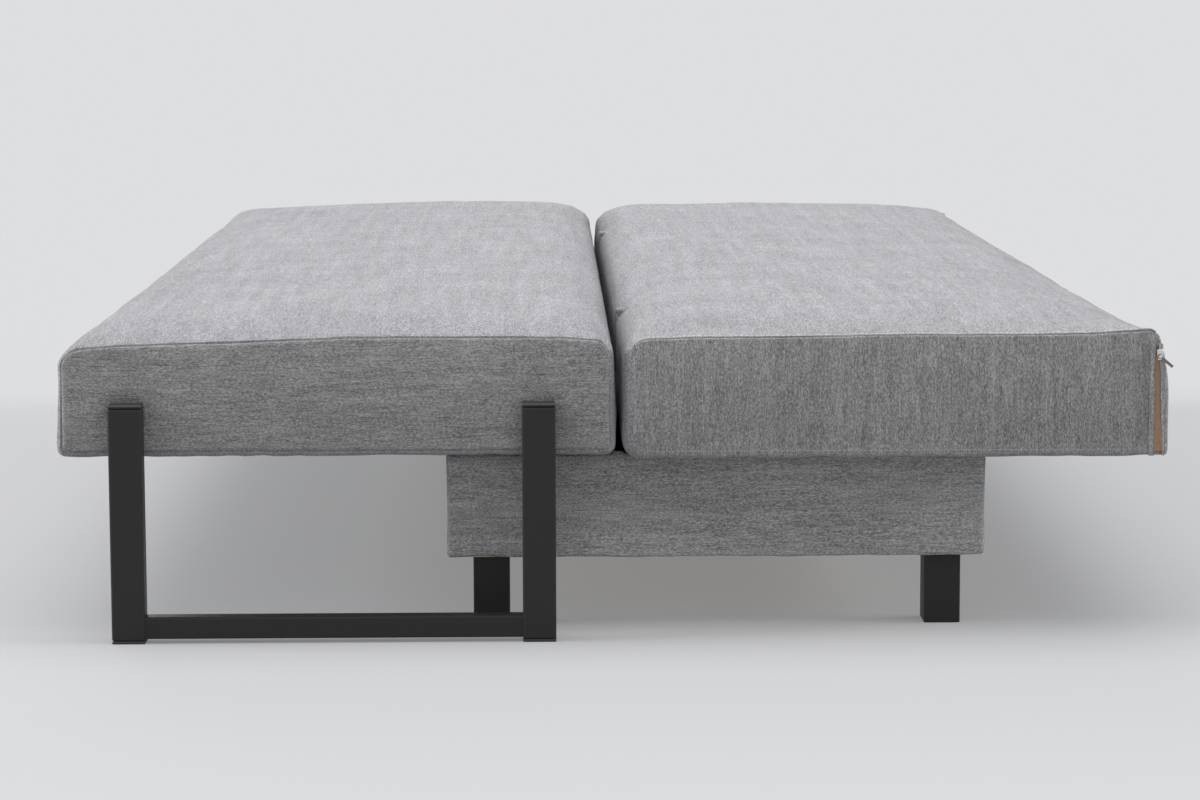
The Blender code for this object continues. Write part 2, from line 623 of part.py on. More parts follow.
def make_hinge(end, side):
    """Arm, leaf, and the pin that joins them."""
    y = side * HINGE_Y
    arm_y = (y - HINGE_PLATE - AIR, y - AIR)
    leaf_y = (y + AIR, y + HINGE_PLATE + AIR)
    arm = make_hinge_arm(end, y, arm_y)
    leaf = make_hinge_leaf(end, y, leaf_y)
    pin = rod_object("hinge_pin_" + end, PIN_RADIUS, arm_y[0] - 0.001, leaf_y[1] + 0.001,
                     HINGE_X, HINGE_Z, sides=24)
    finish(pin, "zinc_steel", BACK)
    for face, outward in ((arm_y[0], -1), (leaf_y[1], 1)):
        start = face + outward * AIR
        add_rod(pin, PIN_HEAD_RADIUS, start, start + outward * PIN_HEAD, HINGE_X, HINGE_Z, sides=24)
    hole = as_cutter(rod_object(pin.name + "_hole", PIN_RADIUS + PIN_PLAY, arm_y[0] - THROUGH / 2,
                                leaf_y[1] + THROUGH / 2, HINGE_X, HINGE_Z, sides=24))
    cut(arm, hole)
    cut(leaf, hole)


# ---- zip ----------------------------------------------------------------------------
def make_zip_tape():
    """Tape down the outer near corner, along the outer bottom edge and up the far corner."""
    half = TAPE_WIDTH / 2
    outer_x = BED_WIDTH / 2
    run = (BACK_BOTTOM + TAPE_LIFT, BACK_BOTTOM + TAPE_LIFT + TAPE_WIDTH)
    end_out = HALF_LENGTH + AIR + TAPE_THICK
    tape = box_object("zip_tape", (BACK_X[1] + AIR, -end_out, run[0]), (outer_x, end_out, run[1]))
    finish(tape, "zip_tape", BACK)
    step = 0.0002                # each strip is this much smaller than the one it meets
    for _, side in ENDS:
        ys = sorted((side * (HALF_LENGTH + AIR), side * end_out))
        add_box(tape, (ZIP_X - half, ys[0], run[0]), (outer_x - step, ys[1], run[1] - step))
        add_box(tape, (ZIP_X - half - step, ys[0] + step / 2, run[0] + step),
                (ZIP_X + half - step, ys[1] - step / 2, SLIDER_TOP - 0.001))


def make_zip_slider():
    """Slider body on the tape, with a headed post that the pull hangs from."""
    slider = box_object("zip_slider",
                        (ZIP_X - SLIDER_SIZE[0] / 2, SLIDER_Y[0], SLIDER_TOP - SLIDER_SIZE[1]),
                        (ZIP_X + SLIDER_SIZE[0] / 2, SLIDER_Y[1], SLIDER_TOP))
    finish(round_edges(slider, SLIDER_EDGE), "zip_metal", SLIDER)
    x, z = PULL_PIVOT[0], PULL_PIVOT[2]
    head_inner = PULL_Y[0] - AIR
    add_rod(slider, POST_RADIUS, head_inner - POST_HEAD / 2, SLIDER_Y[0] + POST_HEAD, x, z)
    add_rod(slider, POST_HEAD_RADIUS, head_inner - POST_HEAD, head_inner, x, z)


def make_zip_pull():
    """Round eye on the slider's post, and a flat bar that leans out past the cushion's corner."""
    x, z = PULL_PIVOT[0], PULL_PIVOT[2]
    pull = finish(rod_object("zip_pull", EYE_RADIUS, *PULL_Y, x, z, sides=24), "zip_metal", PULL)
    bar = box_object("zip_pull_bar", (-PULL_WIDTH / 2, -PULL_THICK / 2, -PULL_LENGTH),
                     (PULL_WIDTH / 2, PULL_THICK / 2, -EYE_RADIUS * 0.7))
    turn = Matrix.Rotation(-PULL_LEAN, 4, "Y")
    bar.matrix_world = Matrix.Translation(PULL_PIVOT) @ turn @ Matrix.Translation(bar.location)
    combine(pull, as_cutter(round_edges(bar, PLATE_EDGE / 2, segments=1)), "UNION")
    cut(pull, as_cutter(rod_object("zip_pull_eye", POST_RADIUS + AIR, PULL_Y[0] - THROUGH,
                                   PULL_Y[1] + THROUGH, x, z)))


# ---- assembly -----------------------------------------------------------------------
def build():
    inner_x, inner_y = make_box()
    make_legs()
    make_slide_rails(inner_x, inner_y)
    seat_cover, seat_core, seat_cloth, end_rails, between = make_seat()
    make_back()
    for (end, side), end_rail in zip(ENDS, end_rails):
        make_leg_frame(end, side, (seat_cover, seat_core), end_rail)
        make_hinge(end, side)
    make_carriages(inner_y, between, seat_cloth)
    make_zip_tape()
    make_zip_slider()
    make_zip_pull()
    bpy.context.view_layer.update()


build()
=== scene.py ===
"""Looks of the futon sofa bed: sewn cushions, upholstered box and finished metal around the CAD frame.

Metres, +Z up, in the CAD's own frame: +X runs from the seat half to the back half, and +Y
runs along the bed.
"""
import math

import bpy
import numpy as np
from mathutils import Matrix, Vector
from mathutils.bvhtree import BVHTree


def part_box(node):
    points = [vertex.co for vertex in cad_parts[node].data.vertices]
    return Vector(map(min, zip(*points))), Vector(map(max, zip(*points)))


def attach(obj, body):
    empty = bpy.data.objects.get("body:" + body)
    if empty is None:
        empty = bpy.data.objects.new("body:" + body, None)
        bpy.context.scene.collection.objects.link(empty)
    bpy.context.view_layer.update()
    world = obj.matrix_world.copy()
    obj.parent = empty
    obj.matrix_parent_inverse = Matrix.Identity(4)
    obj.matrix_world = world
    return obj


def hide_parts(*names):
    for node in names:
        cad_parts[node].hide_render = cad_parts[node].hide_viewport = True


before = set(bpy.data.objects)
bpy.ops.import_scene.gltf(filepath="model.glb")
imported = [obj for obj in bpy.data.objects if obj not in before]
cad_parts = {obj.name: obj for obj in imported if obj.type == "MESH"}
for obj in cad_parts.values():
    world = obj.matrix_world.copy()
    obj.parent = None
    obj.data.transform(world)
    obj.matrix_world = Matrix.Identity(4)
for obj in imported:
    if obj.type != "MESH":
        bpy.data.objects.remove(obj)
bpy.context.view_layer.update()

# ---- camera and light ----
CAMERA_PLACE = (-0.073, -4.603, 0.7135)
CAMERA_PITCH = 0.1254            # radians below the horizon
CAMERA_YAW = 0.0161
CAMERA_ROLL = -0.0029
CAMERA_LENS = 101.3
BACKDROP = (0.716, 0.723, 0.738)
FLOOR_HALF = 400.0
FLOOR_TONE = (0.250, 0.250, 0.253)
FLOOR_GLOW = 0.25
# each light: strength, size in degrees, height above the horizon and bearing it comes from, in degrees
LIGHTS = {"overhead": (2.0, 60.0, 90.0, 0.0), "left": (3.8, 30.0, 20.0, 180.0),
          "right": (2.5, 30.0, 20.0, 0.0), "behind": (1.2, 35.0, 25.0, 100.0)}

# ---- cushions ----
EDGE_INSETS = (0.0, 0.0018, 0.0036, 0.0056, 0.0078, 0.0110, 0.0150, 0.0205, 0.0275, 0.0370)
STEP = 0.0195                    # spacing of a cushion's mesh away from its edges
HEM_THICK = 0.0018               # the cover's turned-in hem round the opening below
HEM_WIDTH = 0.030
POCKET_TOP = 0.0455              # height of the hollow for the timber frame
POCKET_SLACK = 0.0005            # between the timber frame and the foam round it
HINGE_Y = 0.600                  # the two hinges' distance from the middle of the bed
SLOT_HALF = 0.0120               # half the width of the slots for the hinges
SEAT_SLOT_REACH = 0.0036         # how far the seat's slots start inside its pocket
SEAT_SLOT_HEIGHT = 0.027
BACK_SLOT_TOPS = (0.3202, 0.3222)     # at the joint, and from BACK_SLOT_STEP on
BACK_SLOT_STEP = 0.0225
SEAT_SEAM_INSET = EDGE_INSETS[3]
SEAT_SEAM_DEPTH = 0.0024
BACK_SEAM_DROP = EDGE_INSETS[1]
BACK_SEAM_DEPTH = 0.0019
CORNER_SEAM_INSET = EDGE_INSETS[5]
CORNER_SEAM_DEPTH = 0.0014
SEAM_CREASE = 0.9
HELD_HEIGHT = 0.004              # the pressure leaves points below this height in place
END_SWELL = 0.0035               # how far the end panels may swell
BOTTOM_SWELL = 0.0015            # and the lowest part, up to BOTTOM_HEIGHT
BOTTOM_HEIGHT = 0.06
ROOT_HEIGHT = 0.045              # sides swell fully above this height
SHAPED_FROM = 0.03               # the outlines change a cushion above this height
SIM_FRAMES = 20
SIM_PRESSURE = 1.5
LEAN = 0.0110                    # how far the back's outer side leans in at its top
LEAN_FROM = 0.262
LEAN_POWER = 1.7
LEAN_REACH = 0.060
# each slope or sag: its size, and how far in from its edge it reaches or dies out
SEAT_FRONT_SLOPE = (0.0114, 0.42)
SEAT_SLOPE_POWER = 1.6
SEAT_FRONT_SAG = (0.004, 0.035)
SEAT_JOINT_SAG = (0.008, 0.040)
BACK_CORNER_RISE = (0.0055, 0.050)
BACK_JOINT_SAG = (0.0045, 0.070)
BACK_OUTER_SAG = (0.0085, 0.070)
NEAR_END_REACH = 0.11
# each unevenness: its size, and its shortest and longest waves
PUCKER = (0.00035, 0.016, 0.045)
BROAD_UNEVENNESS = (0.0007, 0.14, 0.42)
SMALL_UNEVENNESS = (0.00022, 0.035, 0.09)
HEM_SCALLOP = (0.0006, 0.03, 0.12)
BAND_RIPPLE = (0.0007, 0.03, 0.20)
BAND_UNEVENNESS = (0.0002, 0.04, 0.2)
PUCKER_REACH = 0.018
SCALLOP_REACH = 0.006
SCALLOP_DROP = 0.0003            # the hem's scallops hang no lower than this
SEAT_SEED = 11
BACK_SEED = 31
BAND_SEED = 61
UPRIGHT_GAP = 0.0005             # between the seat's end panel and the uprights
UPRIGHT_FADE = 0.022
ZIP_SIDE = 0.006                 # the end panel is flat from here on, left of the zip's slider
ZIP_GAP = 0.0004
ZIP_FADE = 0.030
PRESS_DEPTH = 0.0045             # how much less the ends stand out beside the uprights and the zip
FOLD_REACH = 0.0345              # how far the back's soft corner may stand from its hinge


def smooth_step(t):
    t = np.clip(t, 0.0, 1.0)
    return t * t * (3.0 - 2.0 * t)


# ---- lattice meshes ----
def stations(low, high, insets, extra, step):
    """Places along one side: given insets from both ends, extra ones, and even steps between."""
    fixed = sorted({round(v, 6) for v in extra})
    fixed = [v for v in fixed if low < v < high]
    for inset in insets:
        for place in (low + inset, high - inset):
            clear = all(abs(place - other) > 0.0012 for other in fixed)
            if clear:
                fixed.append(place)
    fixed.sort()
    places = [fixed[0]]
    for place in fixed[1:]:
        count = max(1, math.ceil((place - places[-1]) / step - 0.25))
        places += [places[-1] + (place - places[-1]) * (k + 1) / count for k in range(count)]
    return np.array(places)


def lattice(xs, ys, zs, filled):
    """Outer faces of a block of cells: points, quads, each quad's axis and side, and lattice places."""
    solid = np.pad(filled, 1)
    shape = (len(xs), len(ys), len(zs))

    def index(i, j, k):
        return (i * shape[1] + j) * shape[2] + k

    quads, sides = [], []
    for axis in range(3):
        step = [0, 0, 0]
        step[axis] = 1
        ahead = np.roll(solid, -1, axis)
        for side, outline in ((1, solid & ~ahead), (-1, ~solid & ahead)):
            cells = np.argwhere(outline)
            i, j, k = (cells[:, n] - 1 + step[n] for n in range(3))
            a, b = [(1, 2), (2, 0), (0, 1)][axis]
            moves = [(0, 0), (1, 0), (1, 1), (0, 1)]
            if side < 0:
                moves = moves[::-1]
            corners = []
            for da, db in moves:
                add = [0, 0, 0]
                add[a], add[b] = da, db
                corners.append(index(i + add[0], j + add[1], k + add[2]))
            quads.append(np.stack(corners, axis=1))
            sides.append(np.full(len(cells), (axis + 1) * side))
    quads = np.concatenate(quads)
    sides = np.concatenate(sides)
    used, flat = np.unique(quads, return_inverse=True)
    i, j, k = np.unravel_index(used, shape)
    points = np.stack([xs[i], ys[j], zs[k]], axis=1)
    return points, flat.reshape(-1, 4), sides, used


def rounded(points, low, high, radii, end_radii):
    """Rounds a block's long edges by radii (bottom left, bottom right, top right, top left), and
    the edges of its end panels by end_radii (left, right, bottom, top)."""
    x, y, z = points.T
    walls = np.stack([x - low[0], high[0] - x, z - low[2], high[2] - z])
    depth = walls.min(0)
    nearest = walls.argmin(0)
    out_x = np.choose(nearest, [-1.0, 1.0, 0.0, 0.0])
    out_z = np.choose(nearest, [0.0, 0.0, -1.0, 1.0])
    new_x, new_z = x.copy(), z.copy()
    for (sx, sz), radius in zip(((-1, -1), (1, -1), (1, 1), (-1, 1)), radii):
        centre_x = low[0] + radius if sx < 0 else high[0] - radius
        centre_z = low[2] + radius if sz < 0 else high[2] - radius
        vx, vz = x - centre_x, z - centre_z
        inside = (sx * vx > 1e-9) & (sz * vz > 1e-9)
        size = np.hypot(vx, vz)
        share = np.maximum(abs(vx), abs(vz)) / np.maximum(size, 1e-9)
        new_x = np.where(inside, centre_x + vx * share, new_x)
        new_z = np.where(inside, centre_z + vz * share, new_z)
        out_x = np.where(inside, vx / np.maximum(size, 1e-9), out_x)
        out_z = np.where(inside, vz / np.maximum(size, 1e-9), out_z)
    end_depth = high[1] - abs(y)
    reach = (end_radii[0] * np.minimum(out_x, 0.0) ** 2 + end_radii[1] * np.maximum(out_x, 0.0) ** 2
             + end_radii[2] * np.minimum(out_z, 0.0) ** 2 + end_radii[3] * np.maximum(out_z, 0.0) ** 2)
    across, along = reach - depth, reach - end_depth
    near = (across > 1e-9) & (along > 1e-9)
    share = np.maximum(across, along) / np.maximum(np.hypot(across, along), 1e-9)
    new_depth = np.where(near, reach - across * share, depth)
    new_end = np.where(near, reach - along * share, end_depth)
    new_x = new_x - out_x * (new_depth - depth)
    new_z = new_z - out_z * (new_depth - depth)
    new_y = np.sign(y) * (high[1] - new_end)
    return np.stack([new_x, new_y, new_z], axis=1)


def mesh_object(name, points, faces, smooth=True):
    mesh = bpy.data.meshes.new(name)
    mesh.from_pydata([tuple(p) for p in points], [], [tuple(int(v) for v in f) for f in faces])
    mesh.update()
    if smooth:
        mesh.shade_smooth()
    obj = bpy.data.objects.new(name, mesh)
    bpy.context.scene.collection.objects.link(obj)
    return obj


def values(obj, name):
    """An array of one vector for each of an object's vertices."""
    found = np.zeros(len(obj.data.vertices) * 3)
    obj.data.vertices.foreach_get(name, found)
    return found.reshape(-1, 3)


def set_coordinates(obj, points):
    obj.data.vertices.foreach_set("co", np.ascontiguousarray(points, float).ravel())
    obj.data.update()


def evaluated_points(obj):
    graph = bpy.context.evaluated_depsgraph_get()
    shown = obj.evaluated_get(graph)
    mesh = shown.to_mesh()
    points = np.zeros(len(mesh.vertices) * 3)
    mesh.vertices.foreach_get("co", points)
    shown.to_mesh_clear()
    return points.reshape(-1, 3)


def inflate(points, quads, held):
    """How far air pressure moves each point of a sewn shell whose held points stay put."""
    obj = mesh_object("inflating", points, quads)
    group = obj.vertex_groups.new(name="held")
    for weight in sorted(set(np.round(held, 2))):
        if weight > 0.0:
            members = [int(v) for v in np.flatnonzero(np.round(held, 2) == weight)]
            group.add(members, float(weight), "REPLACE")
    cloth = obj.modifiers.new("cloth", "CLOTH")
    cloth.settings.quality = 4
    cloth.settings.mass = 0.02
    cloth.settings.tension_stiffness = 8.0
    cloth.settings.compression_stiffness = 8.0
    cloth.settings.shear_stiffness = 3.0
    cloth.settings.bending_stiffness = 0.3
    cloth.settings.use_pressure = True
    cloth.settings.uniform_pressure_force = SIM_PRESSURE
    cloth.settings.vertex_group_mass = "held"
    cloth.settings.effector_weights.gravity = 0.0
    cloth.point_cache.frame_start = 1
    cloth.point_cache.frame_end = SIM_FRAMES
    for number in range(1, SIM_FRAMES + 1):
        bpy.context.scene.frame_set(number)
    moved = evaluated_points(obj) - points
    bpy.context.scene.frame_set(1)
    bpy.data.objects.remove(obj, do_unlink=True)
    return moved


def waves(points, unevenness, seed, count=28):
    """Smooth random values up to about an unevenness's size, made of its shortest to longest waves."""
    size, shortest, longest = unevenness
    random = np.random.default_rng(seed)
    total = np.zeros(len(points))
    for _ in range(count):
        direction = random.normal(size=points.shape[1])
        direction /= np.linalg.norm(direction)
        length = math.exp(random.uniform(math.log(shortest), math.log(longest)))
        total += np.sin(points @ direction * (2 * math.pi / length) + random.uniform(0, 2 * math.pi))
    return size * (total / math.sqrt(count) * 1.2)


# ---- the two cushions ----
class Cushion:
    """A cushion's sizes, from the CAD cover that it stands for."""

    def __init__(self, half, body, radii, end_radii, top_drop, crown, side_swell):
        self.half, self.body = half, body
        self.radii, self.end_radii = radii, end_radii
        self.crown, self.side_swell = crown, side_swell
        low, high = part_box(half + "_cover")
        self.low, self.high = np.array(low), np.array(high)
        self.high[2] -= top_drop
        frame_low = np.array(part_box(half + "_rail_left")[0])
        frame_high = np.array(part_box(half + "_rail_right")[1])
        self.pocket_x = [frame_low[0] - POCKET_SLACK, frame_high[0] + POCKET_SLACK]
        self.pocket_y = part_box(half + "_rail_far")[1].y + POCKET_SLACK
        self.slots = []

    def stations(self):
        """Places of the cushion's lattice along X, Y and Z."""
        low, high = self.low, self.high
        slot_y = [slot[n][1] for slot in self.slots for n in (0, 1)]
        slot_x = [slot[n][0] for slot in self.slots for n in (0, 1)]
        slot_z = [slot[n][2] for slot in self.slots for n in (0, 1)]
        xs = stations(low[0], high[0], EDGE_INSETS,
                      [*self.pocket_x, low[0] + HEM_WIDTH, high[0] - HEM_WIDTH, *slot_x], STEP)
        ys = stations(low[1], high[1], EDGE_INSETS,
                      [-self.pocket_y, self.pocket_y, low[1] + HEM_WIDTH, high[1] - HEM_WIDTH,
                       *slot_y], STEP)
        zs = stations(low[2], high[2], EDGE_INSETS, [low[2] + POCKET_TOP, *slot_z], STEP)
        return xs, ys, zs

    def filled(self, xs, ys, zs):
        """Which cells are cushion: all but the hemmed opening, the timber's pocket and the slots."""
        middles = [(v[1:] + v[:-1]) / 2 for v in (xs, ys, zs)]
        x, y, z = np.meshgrid(*middles, indexing="ij")
        pocket = ((x > self.pocket_x[0]) & (x < self.pocket_x[1]) & (abs(y) < self.pocket_y)
                  & (z < self.low[2] + POCKET_TOP))
        opening = ((x > self.low[0] + HEM_WIDTH) & (x < self.high[0] - HEM_WIDTH)
                   & (abs(y) < self.high[1] - HEM_WIDTH))
        solid = ~np.where(z < self.low[2] + HEM_THICK, opening, pocket)
        for low, high in self.slots:
            solid[(x > low[0]) & (x < high[0]) & (y > low[1]) & (y < high[1])
                  & (z > low[2]) & (z < high[2])] = False
        return solid


def shaped_height(z, cushion):
    """How much an outline changes points at this height: from 0 low on a side to 1 on top."""
    foot = cushion.low[2] + SHAPED_FROM
    return smooth_step((z - foot) / (cushion.high[2] - foot))


def dying_out(size_and_reach, distance):
    size, reach = size_and_reach
    return size * np.exp(-distance / reach)


def seat_outline(points, cushion):
    """The seat's top line: highest a third in from the joint, lower towards the front edge."""
    x, z = points[:, 0], points[:, 2]
    front = np.clip(x - cushion.low[0], 0.0, None)
    joint = np.clip(cushion.high[0] - x, 0.0, None)
    fall, reach = SEAT_FRONT_SLOPE
    sag = (fall * np.clip(1.0 - front / reach, 0.0, 1.0) ** SEAT_SLOPE_POWER
           + dying_out(SEAT_FRONT_SAG, front) + dying_out(SEAT_JOINT_SAG, joint))
    height = shaped_height(z, cushion)
    moved = points.copy()
    moved[:, 2] -= sag * height
    return moved


def back_outline(points, cushion):
    """The back's top line: lower at the joint, its outer face leaning in, its corners raised."""
    x, y, z = points.T
    joint = np.clip(x - cushion.low[0], 0.0, None)
    outer = np.clip(cushion.high[0] - x, 0.0, None)
    near_end = np.exp(-np.clip(y - cushion.low[1], 0.0, None) / NEAR_END_REACH)
    height = shaped_height(z, cushion)
    corner = dying_out(BACK_CORNER_RISE, outer) * near_end
    sag = dying_out(BACK_JOINT_SAG, joint) + dying_out(BACK_OUTER_SAG, outer) * (1 - near_end)
    moved = points.copy()
    moved[:, 2] += (corner - sag) * height
    lean = np.clip((z - LEAN_FROM) / (cushion.high[2] - LEAN_FROM), 0.0, 1.0) ** LEAN_POWER
    moved[:, 0] -= LEAN * lean * np.exp(-outer / LEAN_REACH)
    return moved


def capped(moved, points, cushion):
    """Keeps the swelling within what the foam inside allows, side by side."""
    caps = np.empty_like(moved)
    inner, outer = cushion.side_swell
    middle = (cushion.low[0] + cushion.high[0]) / 2
    caps[:, 0] = np.where(points[:, 0] < middle, inner, outer)
    caps[:, 1] = END_SWELL
    caps[:, 2] = cushion.crown
    caps[points[:, 2] < cushion.low[2] + BOTTOM_HEIGHT, 2] = BOTTOM_SWELL
    moved = caps * np.tanh(moved / caps)
    rooted = smooth_step((points[:, 2] - cushion.low[2]) / ROOT_HEIGHT)
    moved[:, 0] *= rooted
    moved[:, 1] *= rooted
    return moved


def outer_depth(points, cushion):
    """How far inside the outline of an end panel each point lies."""
    x, _, z = points.T
    return np.minimum.reduce([x - cushion.low[0], cushion.high[0] - x,
                              z - cushion.low[2], cushion.high[2] - z])


def make_cushion(cushion, outline, seam, materials, panel):
    """One cushion: a block of cells, rounded, blown up, creased at its seams, then subdivided."""
    xs, ys, zs = cushion.stations()
    block = np.ones((len(xs) - 1, len(ys) - 1, len(zs) - 1), bool)
    points, quads, sides, places = lattice(xs, ys, zs, block)
    shaped = outline(rounded(points, cushion.low, cushion.high, cushion.radii, cushion.end_radii),
                     cushion)
    held = np.where(points[:, 2] < cushion.low[2] + HELD_HEIGHT, 1.0, 0.0)
    held = np.maximum(held, seam(points, cushion) > 0.0)
    moved = inflate(shaped, quads, held)
    moved = capped(moved, points, cushion)
    swelling = dict(zip(places.tolist(), range(len(places))))

    points, quads, sides, used = lattice(xs, ys, zs, cushion.filled(xs, ys, zs))
    final = points.copy()
    on_skin = np.array([swelling.get(int(place), -1) for place in used])
    skin = on_skin >= 0
    final[skin] = (shaped + moved)[on_skin[skin]]
    inner_quads = ~skin[quads].all(1)
    seam_depth = np.where(skin, seam(points, cushion), 0.0)
    obj = mesh_object(cushion.half + "_cushion", final, quads)
    set_coordinates(obj, final - values(obj, "normal") * seam_depth[:, None])
    mark_creases(obj, seam_depth > 0.001)
    for item in materials:
        obj.data.materials.append(item)
    index = np.array([panel(side, points[quad].mean(0), cushion) for side, quad in zip(sides, quads)])
    hinge_slot = points[quads][:, :, 2].max(1) > cushion.low[2] + POCKET_TOP + 0.001
    index[inner_quads & ~hinge_slot] = len(materials) - 1
    obj.data.polygons.foreach_set("material_index", index)
    subdivide(obj)
    return obj


def settle(obj, cushion, seed):
    """Puckers beside the end seams, slight unevenness of the wadding, and a scalloped hem."""
    points = values(obj, "co")
    normals = values(obj, "normal")
    _, y, z = points.T
    from_end = np.clip(cushion.high[1] - abs(y), 0.0, None)
    on_top = smooth_step((normals[:, 2] - 0.3) / 0.5)
    above_hem = smooth_step((z - cushion.low[2] - 0.02) / 0.03)
    pucker = waves(points * (1.0, 0.25, 1.0), PUCKER, seed) * np.exp(-from_end / PUCKER_REACH)
    broad = waves(points, BROAD_UNEVENNESS, seed + 1)
    small = waves(points, SMALL_UNEVENNESS, seed + 2)
    lift = (pucker + broad * on_top + small) * above_hem
    at_hem = np.exp(-(z - cushion.low[2]) / SCALLOP_REACH)
    scallop = waves(points[:, :2], HEM_SCALLOP, seed + 3) * at_hem
    points = points + normals * lift[:, None]
    points[:, 2] += np.maximum(scallop, -SCALLOP_DROP)
    set_coordinates(obj, points)


def clear_of_uprights(obj):
    """The leg frames' uprights press into the seat's end panels."""
    points = values(obj, "co")
    x, y, z = points.T
    limit = np.full(len(points), np.inf)
    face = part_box("leg_frame_far")[0].y - UPRIGHT_GAP
    for label in ("left", "right"):
        low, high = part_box("cap_far_" + label)
        aside = np.maximum.reduce([low.x - x, x - high.x, z - high.z, np.zeros(len(x))])
        limit = np.minimum(limit, face + PRESS_DEPTH * smooth_step(aside / UPRIGHT_FADE))
    points[:, 1] = np.sign(y) * np.minimum(abs(y), limit)
    set_coordinates(obj, points)


def clear_of_zip(obj, cushion):
    """The back's end panels lie flat beside the zip, so that its tape shows."""
    points = values(obj, "co")
    x, y, _ = points.T
    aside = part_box("zip_slider")[0].x - ZIP_SIDE - x
    limit = cushion.high[1] - ZIP_GAP + PRESS_DEPTH * smooth_step(aside / ZIP_FADE)
    points[:, 1] = np.sign(y) * np.minimum(abs(y), limit)
    set_coordinates(obj, points)


def clear_of_joint(obj):
    """Keeps the back's corner at the joint within reach of its hinges, so that it can turn."""
    points = values(obj, "co")
    pin_low, pin_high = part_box("hinge_pin_near")
    pin = np.array([(pin_low.x + pin_high.x) / 2, (pin_low.z + pin_high.z) / 2])
    away = points[:, [0, 2]] - pin
    size = np.hypot(*away.T)
    corner = (away[:, 0] < 0.0) & (away[:, 1] > 0.0) & (size > FOLD_REACH)
    points[corner, 0] = pin[0] + away[corner, 0] * FOLD_REACH / size[corner]
    points[corner, 2] = pin[1] + away[corner, 1] * FOLD_REACH / size[corner]
    set_coordinates(obj, points)


# ---- threads ----
STITCH_PITCH = 0.0056
STITCH_LENGTH = 0.0043
STITCH_START = 0.002             # from a path's start to its first stitch
STITCH_ARCH = 1.5                # in thread radii: how far a stitch rises in its middle,
STITCH_DIVE = 0.9                # and how deep its ends lie
STITCH_STEPS = 5
STITCH_SIDES = 6
THREAD_RADIUS = 0.00042
THREAD_FLATNESS = 0.8
PATH_STEP = 0.004


def stitched(name, paths, surface):
    """Rows of thread along paths, laid on a surface: each stitch dives into the cloth at its ends."""
    tree = BVHTree.FromPolygons([tuple(p) for p in values(surface, "co")],
                                [tuple(p.vertices) for p in surface.data.polygons])
    steps, sides = STITCH_STEPS, STITCH_SIDES
    points, faces = [], []
    turns = np.arange(sides) * 2 * math.pi / sides
    for path in paths:
        path = np.array(path, float)
        runs = np.concatenate([[0.0], np.cumsum(np.linalg.norm(np.diff(path, axis=0), axis=1))])
        for start in np.arange(STITCH_START, runs[-1] - STITCH_LENGTH, STITCH_PITCH):
            ring_start = len(points)
            centres, ups = [], []
            for k in range(steps):
                at = start + STITCH_LENGTH * k / (steps - 1)
                place = [np.interp(at, runs, path[:, n]) for n in range(3)]
                spot, normal, _, _ = tree.find_nearest(place)
                rise = STITCH_ARCH * math.sin(math.pi * k / (steps - 1)) ** 0.5 - STITCH_DIVE
                centres.append(np.array(spot) + np.array(normal) * THREAD_RADIUS * rise)
                ups.append(np.array(normal))
            ahead = centres[-1] - centres[0]
            ahead /= max(np.linalg.norm(ahead), 1e-9)
            for centre, up in zip(centres, ups):
                across = np.cross(ahead, up)
                points += [centre + THREAD_RADIUS * (up * math.sin(a) * THREAD_FLATNESS
                                                     + across * math.cos(a)) for a in turns]
            for k in range(steps - 1):
                a = ring_start + k * sides
                faces += [(a + m, a + (m + 1) % sides, a + sides + (m + 1) % sides, a + sides + m)
                          for m in range(sides)]
            faces.append(tuple(ring_start + m for m in reversed(range(sides))))
            faces.append(tuple(ring_start + (steps - 1) * sides + m for m in range(sides)))
    return mesh_object(name, np.array(points), faces)


def around(cushion, outline, corners):
    """A path over a cushion through corners given on its block, before it was rounded."""
    path = []
    for start, stop in zip(corners, corners[1:]):
        count = max(2, int(math.dist(start, stop) / PATH_STEP))
        path += [[a + (b - a) * k / count for a, b in zip(start, stop)] for k in range(count)]
    path = np.array([*path, corners[-1]])
    return outline(rounded(path, cushion.low, cushion.high, cushion.radii, cushion.end_radii), cushion)


# ---- box band and zip ----
BAND_RADIUS = 0.0055
BAND_EDGE = 0.0040
BAND_THICK = 0.0023
BAND_SAG = 0.0011                # how far the band's middle draws in
BAND_SAG_LIMIT = 0.0015
BAND_TURN_IN = 0.001
RIPPLE_REACH = 0.012
RIPPLE_DROP = 0.0008             # the ripples hang no lower than this
BAND_STEP = 0.012
BAND_ROWS = 10
CORNER_STEPS = 6
EDGE_STEPS = 5
FLAP_ROWS = 90
FLAP_COLUMNS = 11
FLAP_THICK = 0.0006
TAPE_TUCKS = (0.0010, 0.0012)    # how far the zip's tape runs under its left and right facings
TAPE_LIFT = 0.0004
TAPE_FOLD = 0.0005
FACING_WIDTH = 0.0060            # the left facing
FACING_RISE = 0.0030
FACING_CORNER = 0.0060
FACING_LIFT = 0.0002
FACING_WAVER = 0.0002
FACING_OVERHANG = 0.0003         # past the cushion's outer side
FACING_ENDS = (0.0045, 0.0065)   # how far the facings run past the tape's foot and top
OPENING_TOP = 0.0034             # width of the opening at its top,
OPENING_SPREAD = 0.0056          # and how much wider it is at its foot
OPENING_POWER = 0.8
OPENING_WAVER = 0.0004
SLIDER_FOOT = 0.0022             # half widths of the slider's body
SLIDER_WAIST = 0.0030
SLIDER_SHOULDER = 0.0036
WAIST_RISE = 0.0040
SHOULDER_DROP = 0.0020
POST_DROP = 0.0026               # from the pull's top to the middle of its post
POST_RADIUS = 0.0011
POST_HEAD_RADIUS = 0.0018
POST_HEAD = 0.0008
SLIDER_EDGE = 0.0003


